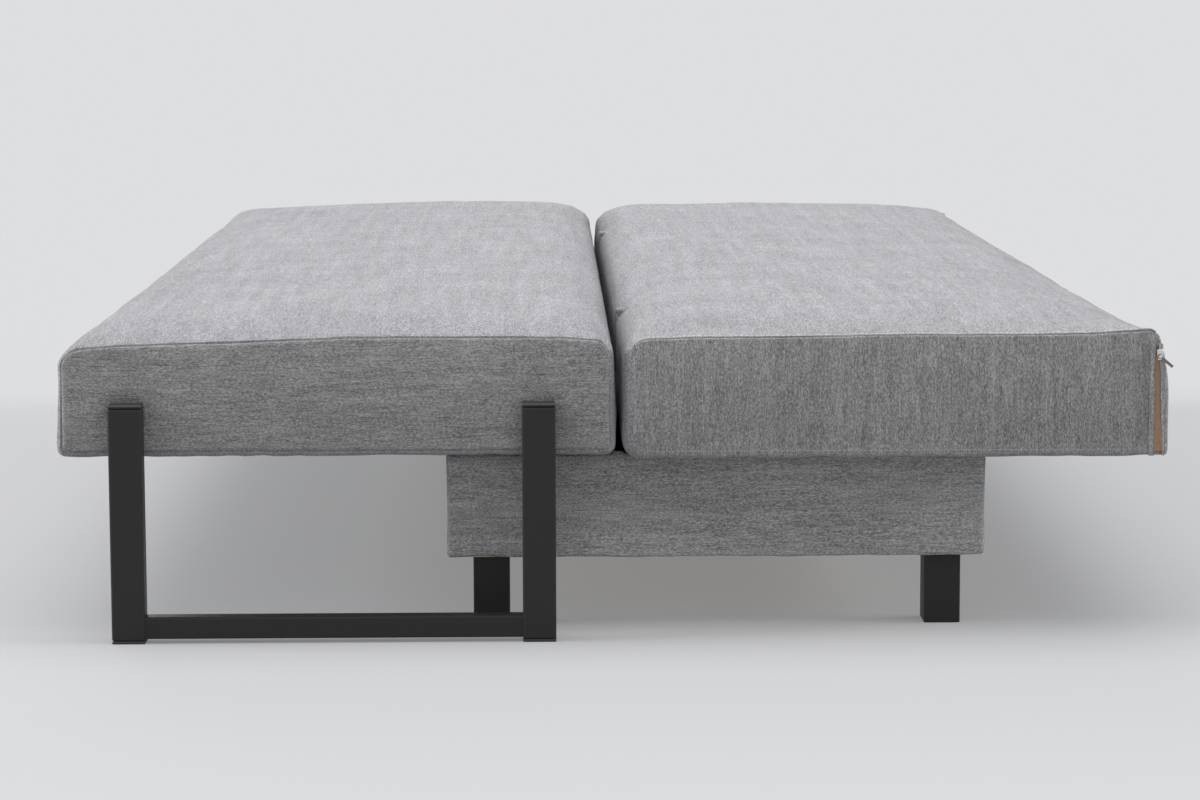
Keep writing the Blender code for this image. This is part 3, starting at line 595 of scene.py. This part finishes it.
def make_band(name):
    """Upholstery stretched round the box, its corners and edges softened."""
    low, high = (np.array(v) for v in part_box("box_upholstery"))
    centre, half = (low + high) / 2, (high - low) / 2
    radius, edge, thick = BAND_RADIUS, BAND_EDGE, BAND_THICK
    plan = []
    for quarter, (sx, sy) in enumerate(((1, 1), (-1, 1), (-1, -1), (1, -1))):
        for k in range(CORNER_STEPS + 1):
            angle = math.pi / 2 * (quarter + k / CORNER_STEPS)
            plan.append((sx * (half[0] - radius), sy * (half[1] - radius),
                         math.cos(angle), math.sin(angle)))
    loop = []
    for (x0, y0, c0, s0), (x1, y1, c1, s1) in zip(plan, plan[1:] + plan[:1]):
        start = np.array([x0 + radius * c0, y0 + radius * s0])
        stop = np.array([x1 + radius * c1, y1 + radius * s1])
        count = max(1, round(np.linalg.norm(stop - start) / BAND_STEP))
        for k in range(count):
            place = start + (stop - start) * k / count
            facing = (np.array([c0, s0]) * (count - k) + np.array([c1, s1]) * k) / count
            loop.append((*place, *facing))
    loop = np.array(loop)
    height = high[2] - low[2]
    arc = [math.pi / 2 * k / EDGE_STEPS for k in range(EDGE_STEPS + 1)]
    section = [(-thick, height - BAND_TURN_IN)]
    section += [(-edge + edge * math.sin(a), height - edge + edge * math.cos(a)) for a in arc]
    section += [(0.0, height * k / BAND_ROWS) for k in range(BAND_ROWS - 1, 0, -1)]
    section += [(-edge + edge * math.cos(a), edge - edge * math.sin(a)) for a in arc]
    section.append((-thick, BAND_TURN_IN))
    section = [(max(out, -thick), up) for out, up in section]
    out, up = np.array(section).T
    points = np.zeros((len(loop), len(section), 3))
    points[:, :, 0] = centre[0] + loop[:, None, 0] + loop[:, None, 2] * out
    points[:, :, 1] = centre[1] + loop[:, None, 1] + loop[:, None, 3] * out
    points[:, :, 2] = low[2] + up
    flat = points.reshape(-1, 3)
    level = (flat[:, 2] - low[2]) / height
    ripple = waves(flat[:, :2], BAND_RIPPLE, BAND_SEED) * np.exp(-level * height / RIPPLE_REACH)
    inward = BAND_SAG * np.sin(math.pi * level) + waves(flat, BAND_UNEVENNESS, BAND_SEED + 1)
    direction = np.repeat(loop[:, None, 2:], len(section), 1).reshape(-1, 2)
    outer = np.tile(out > -thick / 2, len(loop))
    flat[:, :2] -= direction * np.where(outer, np.clip(inward, 0.0, BAND_SAG_LIMIT), 0.0)[:, None]
    flat[:, 2] = np.clip(flat[:, 2] + ripple, low[2] - RIPPLE_DROP, high[2])
    count, rows = len(loop), len(section)
    faces = [(i * rows + j, i * rows + (j + 1) % rows, (i + 1) % count * rows + (j + 1) % rows,
              (i + 1) % count * rows + j) for i in range(count) for j in range(rows)]
    return mesh_object(name, flat, faces)


def flap(name, left, right, rise, z_range, face):
    """An upright ribbon on an end panel: left, right and rise say where it runs at each height."""
    rows, columns = FLAP_ROWS, FLAP_COLUMNS
    side = math.copysign(1.0, face)
    points, faces = [], []
    for i in range(rows + 1):
        t = i / rows
        for j in range(columns):
            s = j / (columns - 1)
            points.append((left(t) + (right(t) - left(t)) * s, face + side * rise(t, s),
                           z_range[0] + (z_range[1] - z_range[0]) * t))
    for i in range(rows):
        for j in range(columns - 1):
            a = i * columns + j
            faces.append((a, a + 1, a + columns + 1, a + columns))
    obj = mesh_object(name, np.array(points), faces)
    skin = obj.modifiers.new("thickness", "SOLIDIFY")
    skin.thickness = FLAP_THICK
    skin.offset = 0.0
    return obj


def mark_creases(obj, ring):
    """Edges along a seam stay sharp when the mesh is subdivided."""
    creases = obj.data.attributes.new("crease_edge", "FLOAT", "EDGE")
    pairs = np.zeros(len(obj.data.edges) * 2, int)
    obj.data.edges.foreach_get("vertices", pairs)
    sharp = ring[pairs.reshape(-1, 2)].all(1)
    creases.data.foreach_set("value", sharp.astype(float) * SEAM_CREASE)


def subdivide(obj):
    surface = obj.modifiers.new("subdivision", "SUBSURF")
    surface.levels = 1
    surface.render_levels = 1
    graph = bpy.context.evaluated_depsgraph_get()
    mesh = bpy.data.meshes.new_from_object(obj.evaluated_get(graph))
    obj.modifiers.remove(surface)
    old = obj.data
    obj.data = mesh
    bpy.data.meshes.remove(old)
    mesh.shade_smooth()


# ---- materials ----
YARN_PITCH = 0.0014
BOX_FILL_LIGHT_TONE = 1.30                  # painted fill light: the box's cloth is made this much lighter than the cushions', to make up for the shade under them


class Look:
    """A material under construction."""

    def __init__(self, name, roughness=0.5, metallic=0.0):
        self.material = bpy.data.materials.new(name)
        self.material.use_nodes = True
        self.nodes = self.material.node_tree.nodes
        self.links = self.material.node_tree.links
        self.shader = self.nodes["Principled BSDF"]
        self.shader.inputs["Roughness"].default_value = roughness
        self.shader.inputs["Metallic"].default_value = metallic
        self.place = self.nodes.new("ShaderNodeTexCoord").outputs["Object"]

    def scaled(self, scale):
        node = self.nodes.new("ShaderNodeMapping")
        node.inputs["Scale"].default_value = scale
        self.links.new(self.place, node.inputs["Vector"])
        return node.outputs["Vector"]

    def noise(self, scale, detail=2.0, roughness=0.5):
        """Noise from 0 to 1 whose features are 1 / scale across on each axis."""
        node = self.nodes.new("ShaderNodeTexNoise")
        node.inputs["Scale"].default_value = 1.0
        node.inputs["Detail"].default_value = detail
        node.inputs["Roughness"].default_value = roughness
        self.links.new(self.scaled(scale), node.inputs["Vector"])
        return node.outputs["Fac"]

    def math(self, operation, first, second=0.0):
        node = self.nodes.new("ShaderNodeMath")
        node.operation = operation
        for socket, value in zip(node.inputs, (first, second)):
            if isinstance(value, (int, float)):
                socket.default_value = value
            else:
                self.links.new(value, socket)
        return node.outputs[0]

    def spread(self, value, low, high, to_low=0.0, to_high=1.0):
        node = self.nodes.new("ShaderNodeMapRange")
        node.inputs["From Min"].default_value = low
        node.inputs["From Max"].default_value = high
        node.inputs["To Min"].default_value = to_low
        node.inputs["To Max"].default_value = to_high
        self.links.new(value, node.inputs["Value"])
        return node.outputs["Result"]

    def ramp(self, value, stops):
        node = self.nodes.new("ShaderNodeValToRGB")
        elements = node.color_ramp.elements
        while len(elements) < len(stops):
            elements.new(0.5)
        for element, (position, colour) in zip(elements, stops):
            element.position = position
            element.color = (*colour, 1.0)
        self.links.new(value, node.inputs["Fac"])
        return node.outputs["Color"]

    def colour(self, socket):
        self.links.new(socket, self.shader.inputs["Base Color"])

    def roughness(self, socket):
        self.links.new(socket, self.shader.inputs["Roughness"])

    def bump(self, height, distance, strength=1.0):
        node = self.nodes.new("ShaderNodeBump")
        node.inputs["Distance"].default_value = distance
        node.inputs["Strength"].default_value = strength
        self.links.new(height, node.inputs["Height"])
        previous = self.shader.inputs["Normal"].links
        if previous:
            self.links.new(previous[0].from_socket, node.inputs["Normal"])
        self.links.new(node.outputs["Normal"], self.shader.inputs["Normal"])


def along(grain, lengthwise, across):
    """A scale for each axis: one along the grain's axis, another across it."""
    return tuple(lengthwise if axis == grain else across for axis in "XYZ")


def fabric(name, grain, tone=1.0, tint=(1.0, 1.0, 1.0)):
    """Grey melange upholstery cloth, its slubs running along one axis."""
    look = Look(name, roughness=0.92)
    fleck = look.noise(along(grain, 330.0, 860.0), 3.0, 0.60)
    speck = look.noise((1150.0, 1150.0, 1150.0), 1.0)
    slub = look.noise(along(grain, 38.0, 520.0), 2.0, 0.6)
    band = look.noise(along(grain, 4.0, 75.0), 2.0, 0.5)
    cloud = look.noise((11.0, 11.0, 11.0), 3.0, 0.55)
    mix = look.math("MULTIPLY", fleck, 0.46)
    for layer, share in ((speck, 0.22), (slub, 0.18), (band, 0.08), (cloud, 0.06)):
        mix = look.math("ADD", mix, look.math("MULTIPLY", layer, share))
    dark, middle, light = 0.088, 0.216, 0.382
    stops = [(0.39, dark), (0.50, middle), (0.61, light)]
    look.colour(look.ramp(mix, [(at, tuple(value * tone * t for t in tint)) for at, value in stops]))
    look.shader.inputs["Sheen Weight"].default_value = 0.15
    look.shader.inputs["Sheen Roughness"].default_value = 0.45
    look.shader.inputs["Specular IOR Level"].default_value = 0.05
    look.bump(mix, 0.0009, 0.6)
    look.bump(weave(look, grain), 0.00035, 0.7)
    return look.material


def weave(look, grain):
    """Yarns over and under each other, wavering a little."""
    separate = look.nodes.new("ShaderNodeSeparateXYZ")
    look.links.new(look.place, separate.inputs["Vector"])
    axis = "XYZ".index(grain)
    lengthwise = separate.outputs[axis]
    others = [separate.outputs[n] for n in range(3) if n != axis]
    across = look.math("ADD", others[0], others[1])
    waver = look.math("MULTIPLY", look.noise((60.0, 60.0, 60.0), 1.0), 0.004)
    frequency = 2 * math.pi / YARN_PITCH
    first = look.math("SINE", look.math("MULTIPLY", look.math("ADD", across, waver), frequency))
    second = look.math("SINE", look.math("MULTIPLY", look.math("ADD", lengthwise, waver), frequency))
    return look.math("MULTIPLY", first, second)


def plain_look(name, colour, roughness, metallic=0.0, fleck=0.15, scale=180.0, bump=0.0001):
    """A finish whose colour, gloss and surface vary a little."""
    look = Look(name, roughness, metallic)
    look.shader.inputs["Specular IOR Level"].default_value = 0.38
    cloudy = look.noise((scale, scale, scale), 3.0, 0.6)
    broad = look.noise((scale / 12, scale / 12, scale / 12), 2.0)
    value = look.math("ADD", look.math("MULTIPLY", cloudy, 0.6), look.math("MULTIPLY", broad, 0.4))
    look.colour(look.ramp(value, [(0.3, tuple(c * (1 - fleck) for c in colour)),
                                  (0.7, tuple(c * (1 + fleck) for c in colour))]))
    look.roughness(look.spread(value, 0.3, 0.7, roughness * 0.88, min(roughness * 1.12, 1.0)))
    look.bump(cloudy, bump)
    return look.material


def timber(name, grain, pale, dark):
    """Planed wood, its rings drawn out along one axis."""
    look = Look(name, roughness=0.55)
    ring = look.noise(along(grain, 3.0, 110.0), 4.0, 0.6)
    pore = look.noise(along(grain, 60.0, 1600.0), 2.0)
    value = look.math("ADD", look.math("MULTIPLY", ring, 0.75), look.math("MULTIPLY", pore, 0.25))
    look.colour(look.ramp(value, [(0.35, dark), (0.65, pale)]))
    look.bump(pore, 0.0001)
    return look.material


# ---- set and camera ----
def make_stage():
    signs = ((-1, -1), (1, -1), (1, 1), (-1, 1))
    corners = [(x * FLOOR_HALF, y * FLOOR_HALF, 0.0) for x, y in signs]
    floor = mesh_object("studio_floor", corners, [(0, 1, 2, 3)])
    look = Look("floor_paint", roughness=0.6)
    look.shader.inputs["Base Color"].default_value = (*FLOOR_TONE, 1.0)
    look.shader.inputs["Emission Color"].default_value = (*BACKDROP, 1.0)
    look.shader.inputs["Emission Strength"].default_value = FLOOR_GLOW
    look.shader.inputs["Specular IOR Level"].default_value = 0.0
    floor.data.materials.append(look.material)
    world = bpy.data.worlds.new("studio")
    world.use_nodes = True
    world.node_tree.nodes["Background"].inputs["Color"].default_value = (*BACKDROP, 1.0)
    world.node_tree.nodes["Background"].inputs["Strength"].default_value = 1.0
    bpy.context.scene.world = world
    for name, (energy, size, height, bearing) in LIGHTS.items():
        sun = bpy.data.objects.new(name + "_light", bpy.data.lights.new(name + "_light", "SUN"))
        sun.data.energy = energy
        sun.data.angle = math.radians(size)
        sun.rotation_euler = (0.0, math.radians(90.0 - height), math.radians(bearing))
        bpy.context.scene.collection.objects.link(sun)
    bpy.context.scene.view_settings.view_transform = "Standard"


def make_camera():
    camera = bpy.data.objects.new("camera", bpy.data.cameras.new("camera"))
    camera.data.lens = CAMERA_LENS
    camera.data.sensor_width = 36.0
    camera.data.clip_end = 1000.0
    turn = (Matrix.Rotation(-CAMERA_YAW, 4, "Z") @ Matrix.Rotation(math.pi / 2 - CAMERA_PITCH, 4, "X")
            @ Matrix.Rotation(CAMERA_ROLL, 4, "Z"))
    camera.matrix_world = Matrix.Translation(CAMERA_PLACE) @ turn
    bpy.context.scene.collection.objects.link(camera)
    bpy.context.scene.camera = camera


# ---- the cushions' seams, cloths and slots ----
def seat_seam(points, cushion):
    """How deep the seam round each of the seat's end panels sinks, at each lattice point."""
    on_end = abs(abs(points[:, 1]) - cushion.high[1]) < 1e-6
    ring = abs(outer_depth(points, cushion) - SEAT_SEAM_INSET) < 1e-4
    return np.where(on_end & ring, SEAT_SEAM_DEPTH, 0.0)


def back_seam(points, cushion):
    """The seam under the back's top panel, and down its corner at the joint."""
    x, y, z = points.T
    on_end = abs(abs(y) - cushion.high[1]) < 1e-6
    on_outer = abs(x - cushion.high[0]) < 1e-6
    below_top = abs(cushion.high[2] - z - BACK_SEAM_DROP) < 1e-4
    inset = x - cushion.low[0]
    corner = abs(inset - CORNER_SEAM_INSET) < 1e-4
    top_seam = below_top & (on_outer | (on_end & (inset > CORNER_SEAM_INSET - 1e-4)))
    side_seam = corner & on_end & (z < cushion.high[2] - BACK_SEAM_DROP + 1e-5)
    depth = np.where(side_seam, CORNER_SEAM_DEPTH, 0.0)
    return np.where(top_seam, BACK_SEAM_DEPTH, depth)


def seat_panel(side, middle, cushion):
    """Which of the seat's cloths covers a face: the crosswise one inside its end seams."""
    ring = outer_depth(middle[None], cushion)[0] < SEAT_SEAM_INSET
    return 0 if abs(side) != 2 or ring else 1


def back_panel(side, middle, cushion):
    """Which of the back's cloths covers a face: the upright one round the box below its top seam."""
    below_seam = middle[2] < cushion.high[2] - BACK_SEAM_DROP
    if abs(side) == 2:
        return 1 if below_seam and middle[0] > cushion.low[0] + CORNER_SEAM_INSET else 0
    return 1 if side == 1 and below_seam else 0


def slots(left, right, bottom, top):
    """Low and high corners of the slots for the two hinges."""
    return [((left, y - SLOT_HALF, bottom), (right, y + SLOT_HALF, top)) for y in (-HINGE_Y, HINGE_Y)]


make_stage()
make_camera()

# the lengthwise cloth, on the cushions' tops and long sides, is tinted a little blue: painted cool light on
# the tops
cloth_y_cool_lit = fabric("cloth_lengthwise", "Y", 1.0, (0.990, 0.980, 1.035))
cloth_x = fabric("cloth_crosswise", "X")
cloth_z = fabric("cloth_upright", "Z")
foam = plain_look("foam", (0.62, 0.58, 0.46), 0.95, fleck=0.12, scale=700.0, bump=0.0008)

seat = Cushion("seat", "seat", radii=(0.010, 0.012, 0.022, 0.026),
               end_radii=(0.009, 0.009, 0.009, 0.009), top_drop=0.0052, crown=0.0145,
               side_swell=(0.0030, 0.0018))
seat.slots = slots(seat.pocket_x[1] - SEAT_SLOT_REACH, seat.high[0], seat.low[2],
                   seat.low[2] + SEAT_SLOT_HEIGHT)
back = Cushion("back", "back", radii=(0.020, 0.006, 0.014, 0.028),
               end_radii=(0.014, 0.007, 0.005, 0.004), top_drop=0.0098, crown=0.0165,
               side_swell=(0.0018, 0.0040))
back.slots = slots(back.low[0], back.pocket_x[0], back.low[2], BACK_SLOT_TOPS[0])
back.slots += slots(BACK_SLOT_STEP, back.pocket_x[0], back.low[2], BACK_SLOT_TOPS[1])
seat_cushion = make_cushion(seat, seat_outline, seat_seam, [cloth_y_cool_lit, cloth_x, foam], seat_panel)
back_cushion = make_cushion(back, back_outline, back_seam, [cloth_y_cool_lit, cloth_z, foam], back_panel)
settle(seat_cushion, seat, SEAT_SEED)
settle(back_cushion, back, BACK_SEED)
clear_of_uprights(seat_cushion)
clear_of_joint(back_cushion)
clear_of_zip(back_cushion, back)
for cushion, obj in ((seat, seat_cushion), (back, back_cushion)):
    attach(obj, cushion.body)
    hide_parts(cushion.half + "_cover", cushion.half + "_core")

# ---- finishes ----
steel = plain_look("powder_coat", (0.0095, 0.0085, 0.0088), 0.46, fleck=0.10, scale=900.0, bump=0.00012)
lacquer = plain_look("black_lacquer", (0.0070, 0.0062, 0.0066), 0.50, fleck=0.12, scale=500.0, bump=0.00008)
plastic = plain_look("black_plastic", (0.020, 0.019, 0.019), 0.50, fleck=0.10, scale=1200.0, bump=0.00008)
zinc = plain_look("zinc_plate", (0.56, 0.57, 0.58), 0.34, metallic=1.0,
                  fleck=0.10, scale=400.0, bump=0.00004)
lining = plain_look("lining_cloth", (0.030, 0.030, 0.032), 0.95, fleck=0.25, scale=1500.0, bump=0.0003)
birch_x = timber("birch_x", "X", (0.62, 0.46, 0.29), (0.50, 0.34, 0.20))
birch_y = timber("birch_y", "Y", (0.62, 0.46, 0.29), (0.50, 0.34, 0.20))
board = plain_look("board", (0.50, 0.40, 0.28), 0.7, fleck=0.25, scale=260.0, bump=0.0002)
tape = plain_look("zip_tape_cloth", (0.30, 0.185, 0.12), 0.9, fleck=0.2, scale=1400.0, bump=0.0003)
nickel = plain_look("nickel", (0.66, 0.65, 0.63), 0.26, metallic=1.0,
                    fleck=0.08, scale=500.0, bump=0.00003)
gunmetal = plain_look("gunmetal", (0.20, 0.16, 0.14), 0.34, metallic=1.0,
                      fleck=0.10, scale=500.0, bump=0.00003)
# a lighter copy of the cushions' cloth: painted fill light on the box
box_cloth = fabric("box_cloth", "X", BOX_FILL_LIGHT_TONE)

seat_thread = plain_look("seat_thread", (0.30, 0.31, 0.33), 0.8, fleck=0.2, scale=900.0, bump=0.0001)
back_thread = plain_look("back_thread", (0.52, 0.44, 0.42), 0.8, fleck=0.2, scale=900.0, bump=0.0001)


# ---- rows of stitches ----
SEAT_ROW_INSET = 0.0062
BACK_ROW_INSET = 0.0042
ROW_START = 0.012
CORNER_ROW_INSET = 0.0135
CORNER_ROW_DROPS = (0.004, 0.026)
HEM_ROW_RISE = 0.008
HEM_ROW_INSETS = (0.024, 0.022)


def over_end(cushion, side, inset, rise):
    """Corners of a path up one side, over the top and down the other, just inside an end."""
    y = side * (cushion.high[1] - inset)
    foot = cushion.low[2] + rise
    return [(cushion.low[0], y, foot), (cushion.low[0], y, cushion.high[2]),
            (cushion.high[0], y, cushion.high[2]), (cushion.high[0], y, foot)]


def round_outside(cushion, inset, z, start):
    """Corners of a path along the near end, the outer side and the far end."""
    y, x = cushion.high[1] - inset, cushion.high[0] - inset
    return [(cushion.low[0] + start, -y, z), (x, -y, z), (x, y, z), (cushion.low[0] + start, y, z)]


seat_rows = [around(seat, seat_outline, over_end(seat, side, SEAT_ROW_INSET, ROW_START)) for side in (-1, 1)]
outside = round_outside(back, BACK_ROW_INSET, back.high[2], ROW_START)
back_rows = [around(back, back_outline, outside)]
corner_row = [(back.low[0] + CORNER_ROW_INSET, -back.high[1], back.high[2] - drop)
              for drop in CORNER_ROW_DROPS]
hem_z = back.low[2] + HEM_ROW_RISE
hem_near = [(x, -back.high[1], hem_z)
            for x in (back.low[0] + HEM_ROW_INSETS[0], back.high[0] - HEM_ROW_INSETS[1])]
hem_far = [(x, -y, z) for x, y, z in hem_near]
threads = [stitched("seat_topstitch", seat_rows, seat_cushion),
           stitched("back_topstitch", back_rows, back_cushion),
           stitched("back_corner_stitch", [around(back, back_outline, corner_row)], back_cushion),
           stitched("back_hem_stitch", [around(back, back_outline, row) for row in (hem_near, hem_far)],
                    back_cushion)]
for obj in threads:
    half = obj.name.split("_")[0]
    obj.data.materials.append(back_thread if obj.name == "back_topstitch" else seat_thread)
    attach(obj, half)

# ---- the box's band ----
band = make_band("box_band")
# the band's two cloths are lighter copies of the cushions' cloth: painted fill light on the shaded box
band.data.materials.append(box_cloth)
band.data.materials.append(fabric("box_side_cloth", "Y", BOX_FILL_LIGHT_TONE))
for face in band.data.polygons:
    face.material_index = 1 if abs(face.normal.x) > 0.7 else 0
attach(band, "base")
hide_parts("box_upholstery")

# ---- the zip ----
tape_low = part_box("zip_tape")[0]
slider_low, slider_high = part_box("zip_slider")
zip_left, outer_side = slider_low.x + 0.0006, back.high[0]
foot, top = tape_low.z + 0.0005, slider_high.z - 0.0010
facing_z = (foot - FACING_ENDS[0], top + FACING_ENDS[1])


def outer_edge(t):
    """How far out the back's outer side stands at a height along the zip's facings."""
    z = facing_z[0] + (facing_z[1] - facing_z[0]) * t
    lean = max(0.0, (z - LEAN_FROM) / (back.high[2] - LEAN_FROM)) ** LEAN_POWER
    below = max(0.0, FACING_CORNER - (z - facing_z[0])) / FACING_CORNER
    corner = FACING_CORNER * (1.0 - math.sqrt(1.0 - min(below, 1.0) ** 2))
    return outer_side + FACING_OVERHANG - LEAN * lean - corner


def opening(t):
    """Right edge of the gap that shows the zip's tape: narrow at the slider, wide at the foot."""
    spread = OPENING_SPREAD * (1.0 - t) ** OPENING_POWER
    return zip_left + OPENING_TOP + spread + OPENING_WAVER * math.sin(t * 11.0)


def bunched(t, s):
    """The zip's tape lies flat above and bunches into folds near the bottom."""
    slack = smooth_step((0.34 - t) / 0.28)
    fold = math.sin((s * 2.3 + 0.3 * math.sin(t * 9.0)) * 2 * math.pi)
    return TAPE_LIFT + TAPE_FOLD * slack * (1.0 + fold)


def tapered(t):
    """A facing sinks into the cushion at its two ends."""
    return smooth_step((1.0 - t) / 0.045) * smooth_step(0.3 + t / 0.02)


def left_roll(t, s):
    """The left facing rises towards the tape and turns in at its edge."""
    roll = FACING_LIFT + FACING_RISE * s ** 1.5 * (1.0 - s ** 11)
    return tapered(t) * (roll + FACING_WAVER * math.sin(t * 31.0))


def right_roll(t, s):
    """The right facing turns in at the tape and tucks in behind the cushion's outer edge."""
    roll = FACING_RISE * (1.0 - 2.6 * s ** 6) * (1.0 - 0.5 * (1.0 - s) ** 11)
    return tapered(t) * (roll + FACING_WAVER * math.sin(t * 27.0))


def tape_left(t):
    return zip_left - TAPE_TUCKS[0]


def tape_right(t):
    return opening(t) + TAPE_TUCKS[1]


def facing_left(t):
    return zip_left - FACING_WIDTH


def facing_right(t):
    return zip_left


def extruded(outline, y_range):
    """A flat outline in X and Z made solid along Y: its points and faces."""
    count = len(outline)
    points = [(x, y, z) for y in y_range for x, z in outline]
    faces = [tuple(range(count)), tuple(reversed(range(count, 2 * count)))]
    faces += [(k, k + count, (k + 1) % count + count, (k + 1) % count) for k in range(count)]
    return points, faces


def joined(name, shapes, bevel):
    """One object of several closed shapes, their edges softened."""
    points, faces = [], []
    for more_points, more_faces in shapes:
        faces += [tuple(v + len(points) for v in face) for face in more_faces]
        points += more_points
    obj = mesh_object(name, np.array(points), faces, smooth=False)
    edges = obj.modifiers.new("edges", "BEVEL")
    edges.width = bevel
    edges.segments = 3
    edges.limit_method = "ANGLE"
    edges.angle_limit = math.radians(50.0)
    return obj


def disc(x, z, radius, count=28):
    turns = [2 * math.pi * k / count for k in range(count)]
    return [(x + radius * math.cos(turn), z + radius * math.sin(turn)) for turn in turns]


def make_slider():
    """Zip slider: a waisted body, wider where the two rows of teeth meet, and a headed post."""
    x = (slider_low.x + slider_high.x) / 2
    pull_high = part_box("zip_pull")[1]
    post_z = pull_high.z - POST_DROP
    back_y, head_y = slider_high.y, slider_low.y
    right = ((SLIDER_FOOT, slider_low.z), (SLIDER_WAIST, slider_low.z + WAIST_RISE),
             (SLIDER_SHOULDER, slider_high.z - SHOULDER_DROP), (SLIDER_FOOT, slider_high.z))
    body = [(x + out, z) for out, z in right] + [(x - out, z) for out, z in reversed(right)]
    shapes = [extruded(body, (pull_high.y + 0.0004, back_y)),
              extruded(disc(x, post_z, POST_RADIUS), (head_y + 0.0003, pull_high.y + 0.0006)),
              extruded(disc(x, post_z, POST_HEAD_RADIUS), (head_y, head_y + POST_HEAD))]
    return joined("zip_slider_body", shapes, SLIDER_EDGE)


for side, end in ((-1, "near"), (1, "far")):
    end_face = side * back.high[1]
    pieces = [flap("zip_tape_" + end, tape_left, tape_right, bunched, (foot, top), end_face),
              flap("zip_facing_left_" + end, facing_left, facing_right, left_roll, facing_z, end_face),
              flap("zip_facing_right_" + end, opening, outer_edge, right_roll, facing_z, end_face)]
    for obj, item in zip(pieces, (tape, cloth_z, cloth_z)):
        obj.data.materials.append(item)
        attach(obj, "back")
    if end == "near":
        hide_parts("zip_tape")

slider = make_slider()
slider.data.materials.append(nickel)
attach(slider, "zip_slider")
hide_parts("zip_slider")

# ---- the frame's finishes ----
FINISHES = {"leg_frame": steel, "cap": plastic, "glide": plastic, "frame_bolt": zinc,
            "carriage": zinc, "hinge": zinc, "slide_rail": zinc, "leg_": lacquer,
            "box_panel": board, "box_floor": board, "box_upholstery": box_cloth,
            "seat_bottom_cloth": lining, "back_bottom_cloth": lining, "zip_tape": tape,
            "zip_slider": nickel, "zip_pull": gunmetal, "seat_rail": birch_y, "back_rail": birch_y,
            "seat_bearer": birch_x, "seat_slat": birch_x, "back_slat": birch_x}

for name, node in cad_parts.items():
    for start, item in FINISHES.items():
        if name.startswith(start):
            node.data.materials.clear()
            node.data.materials.append(item)
            break
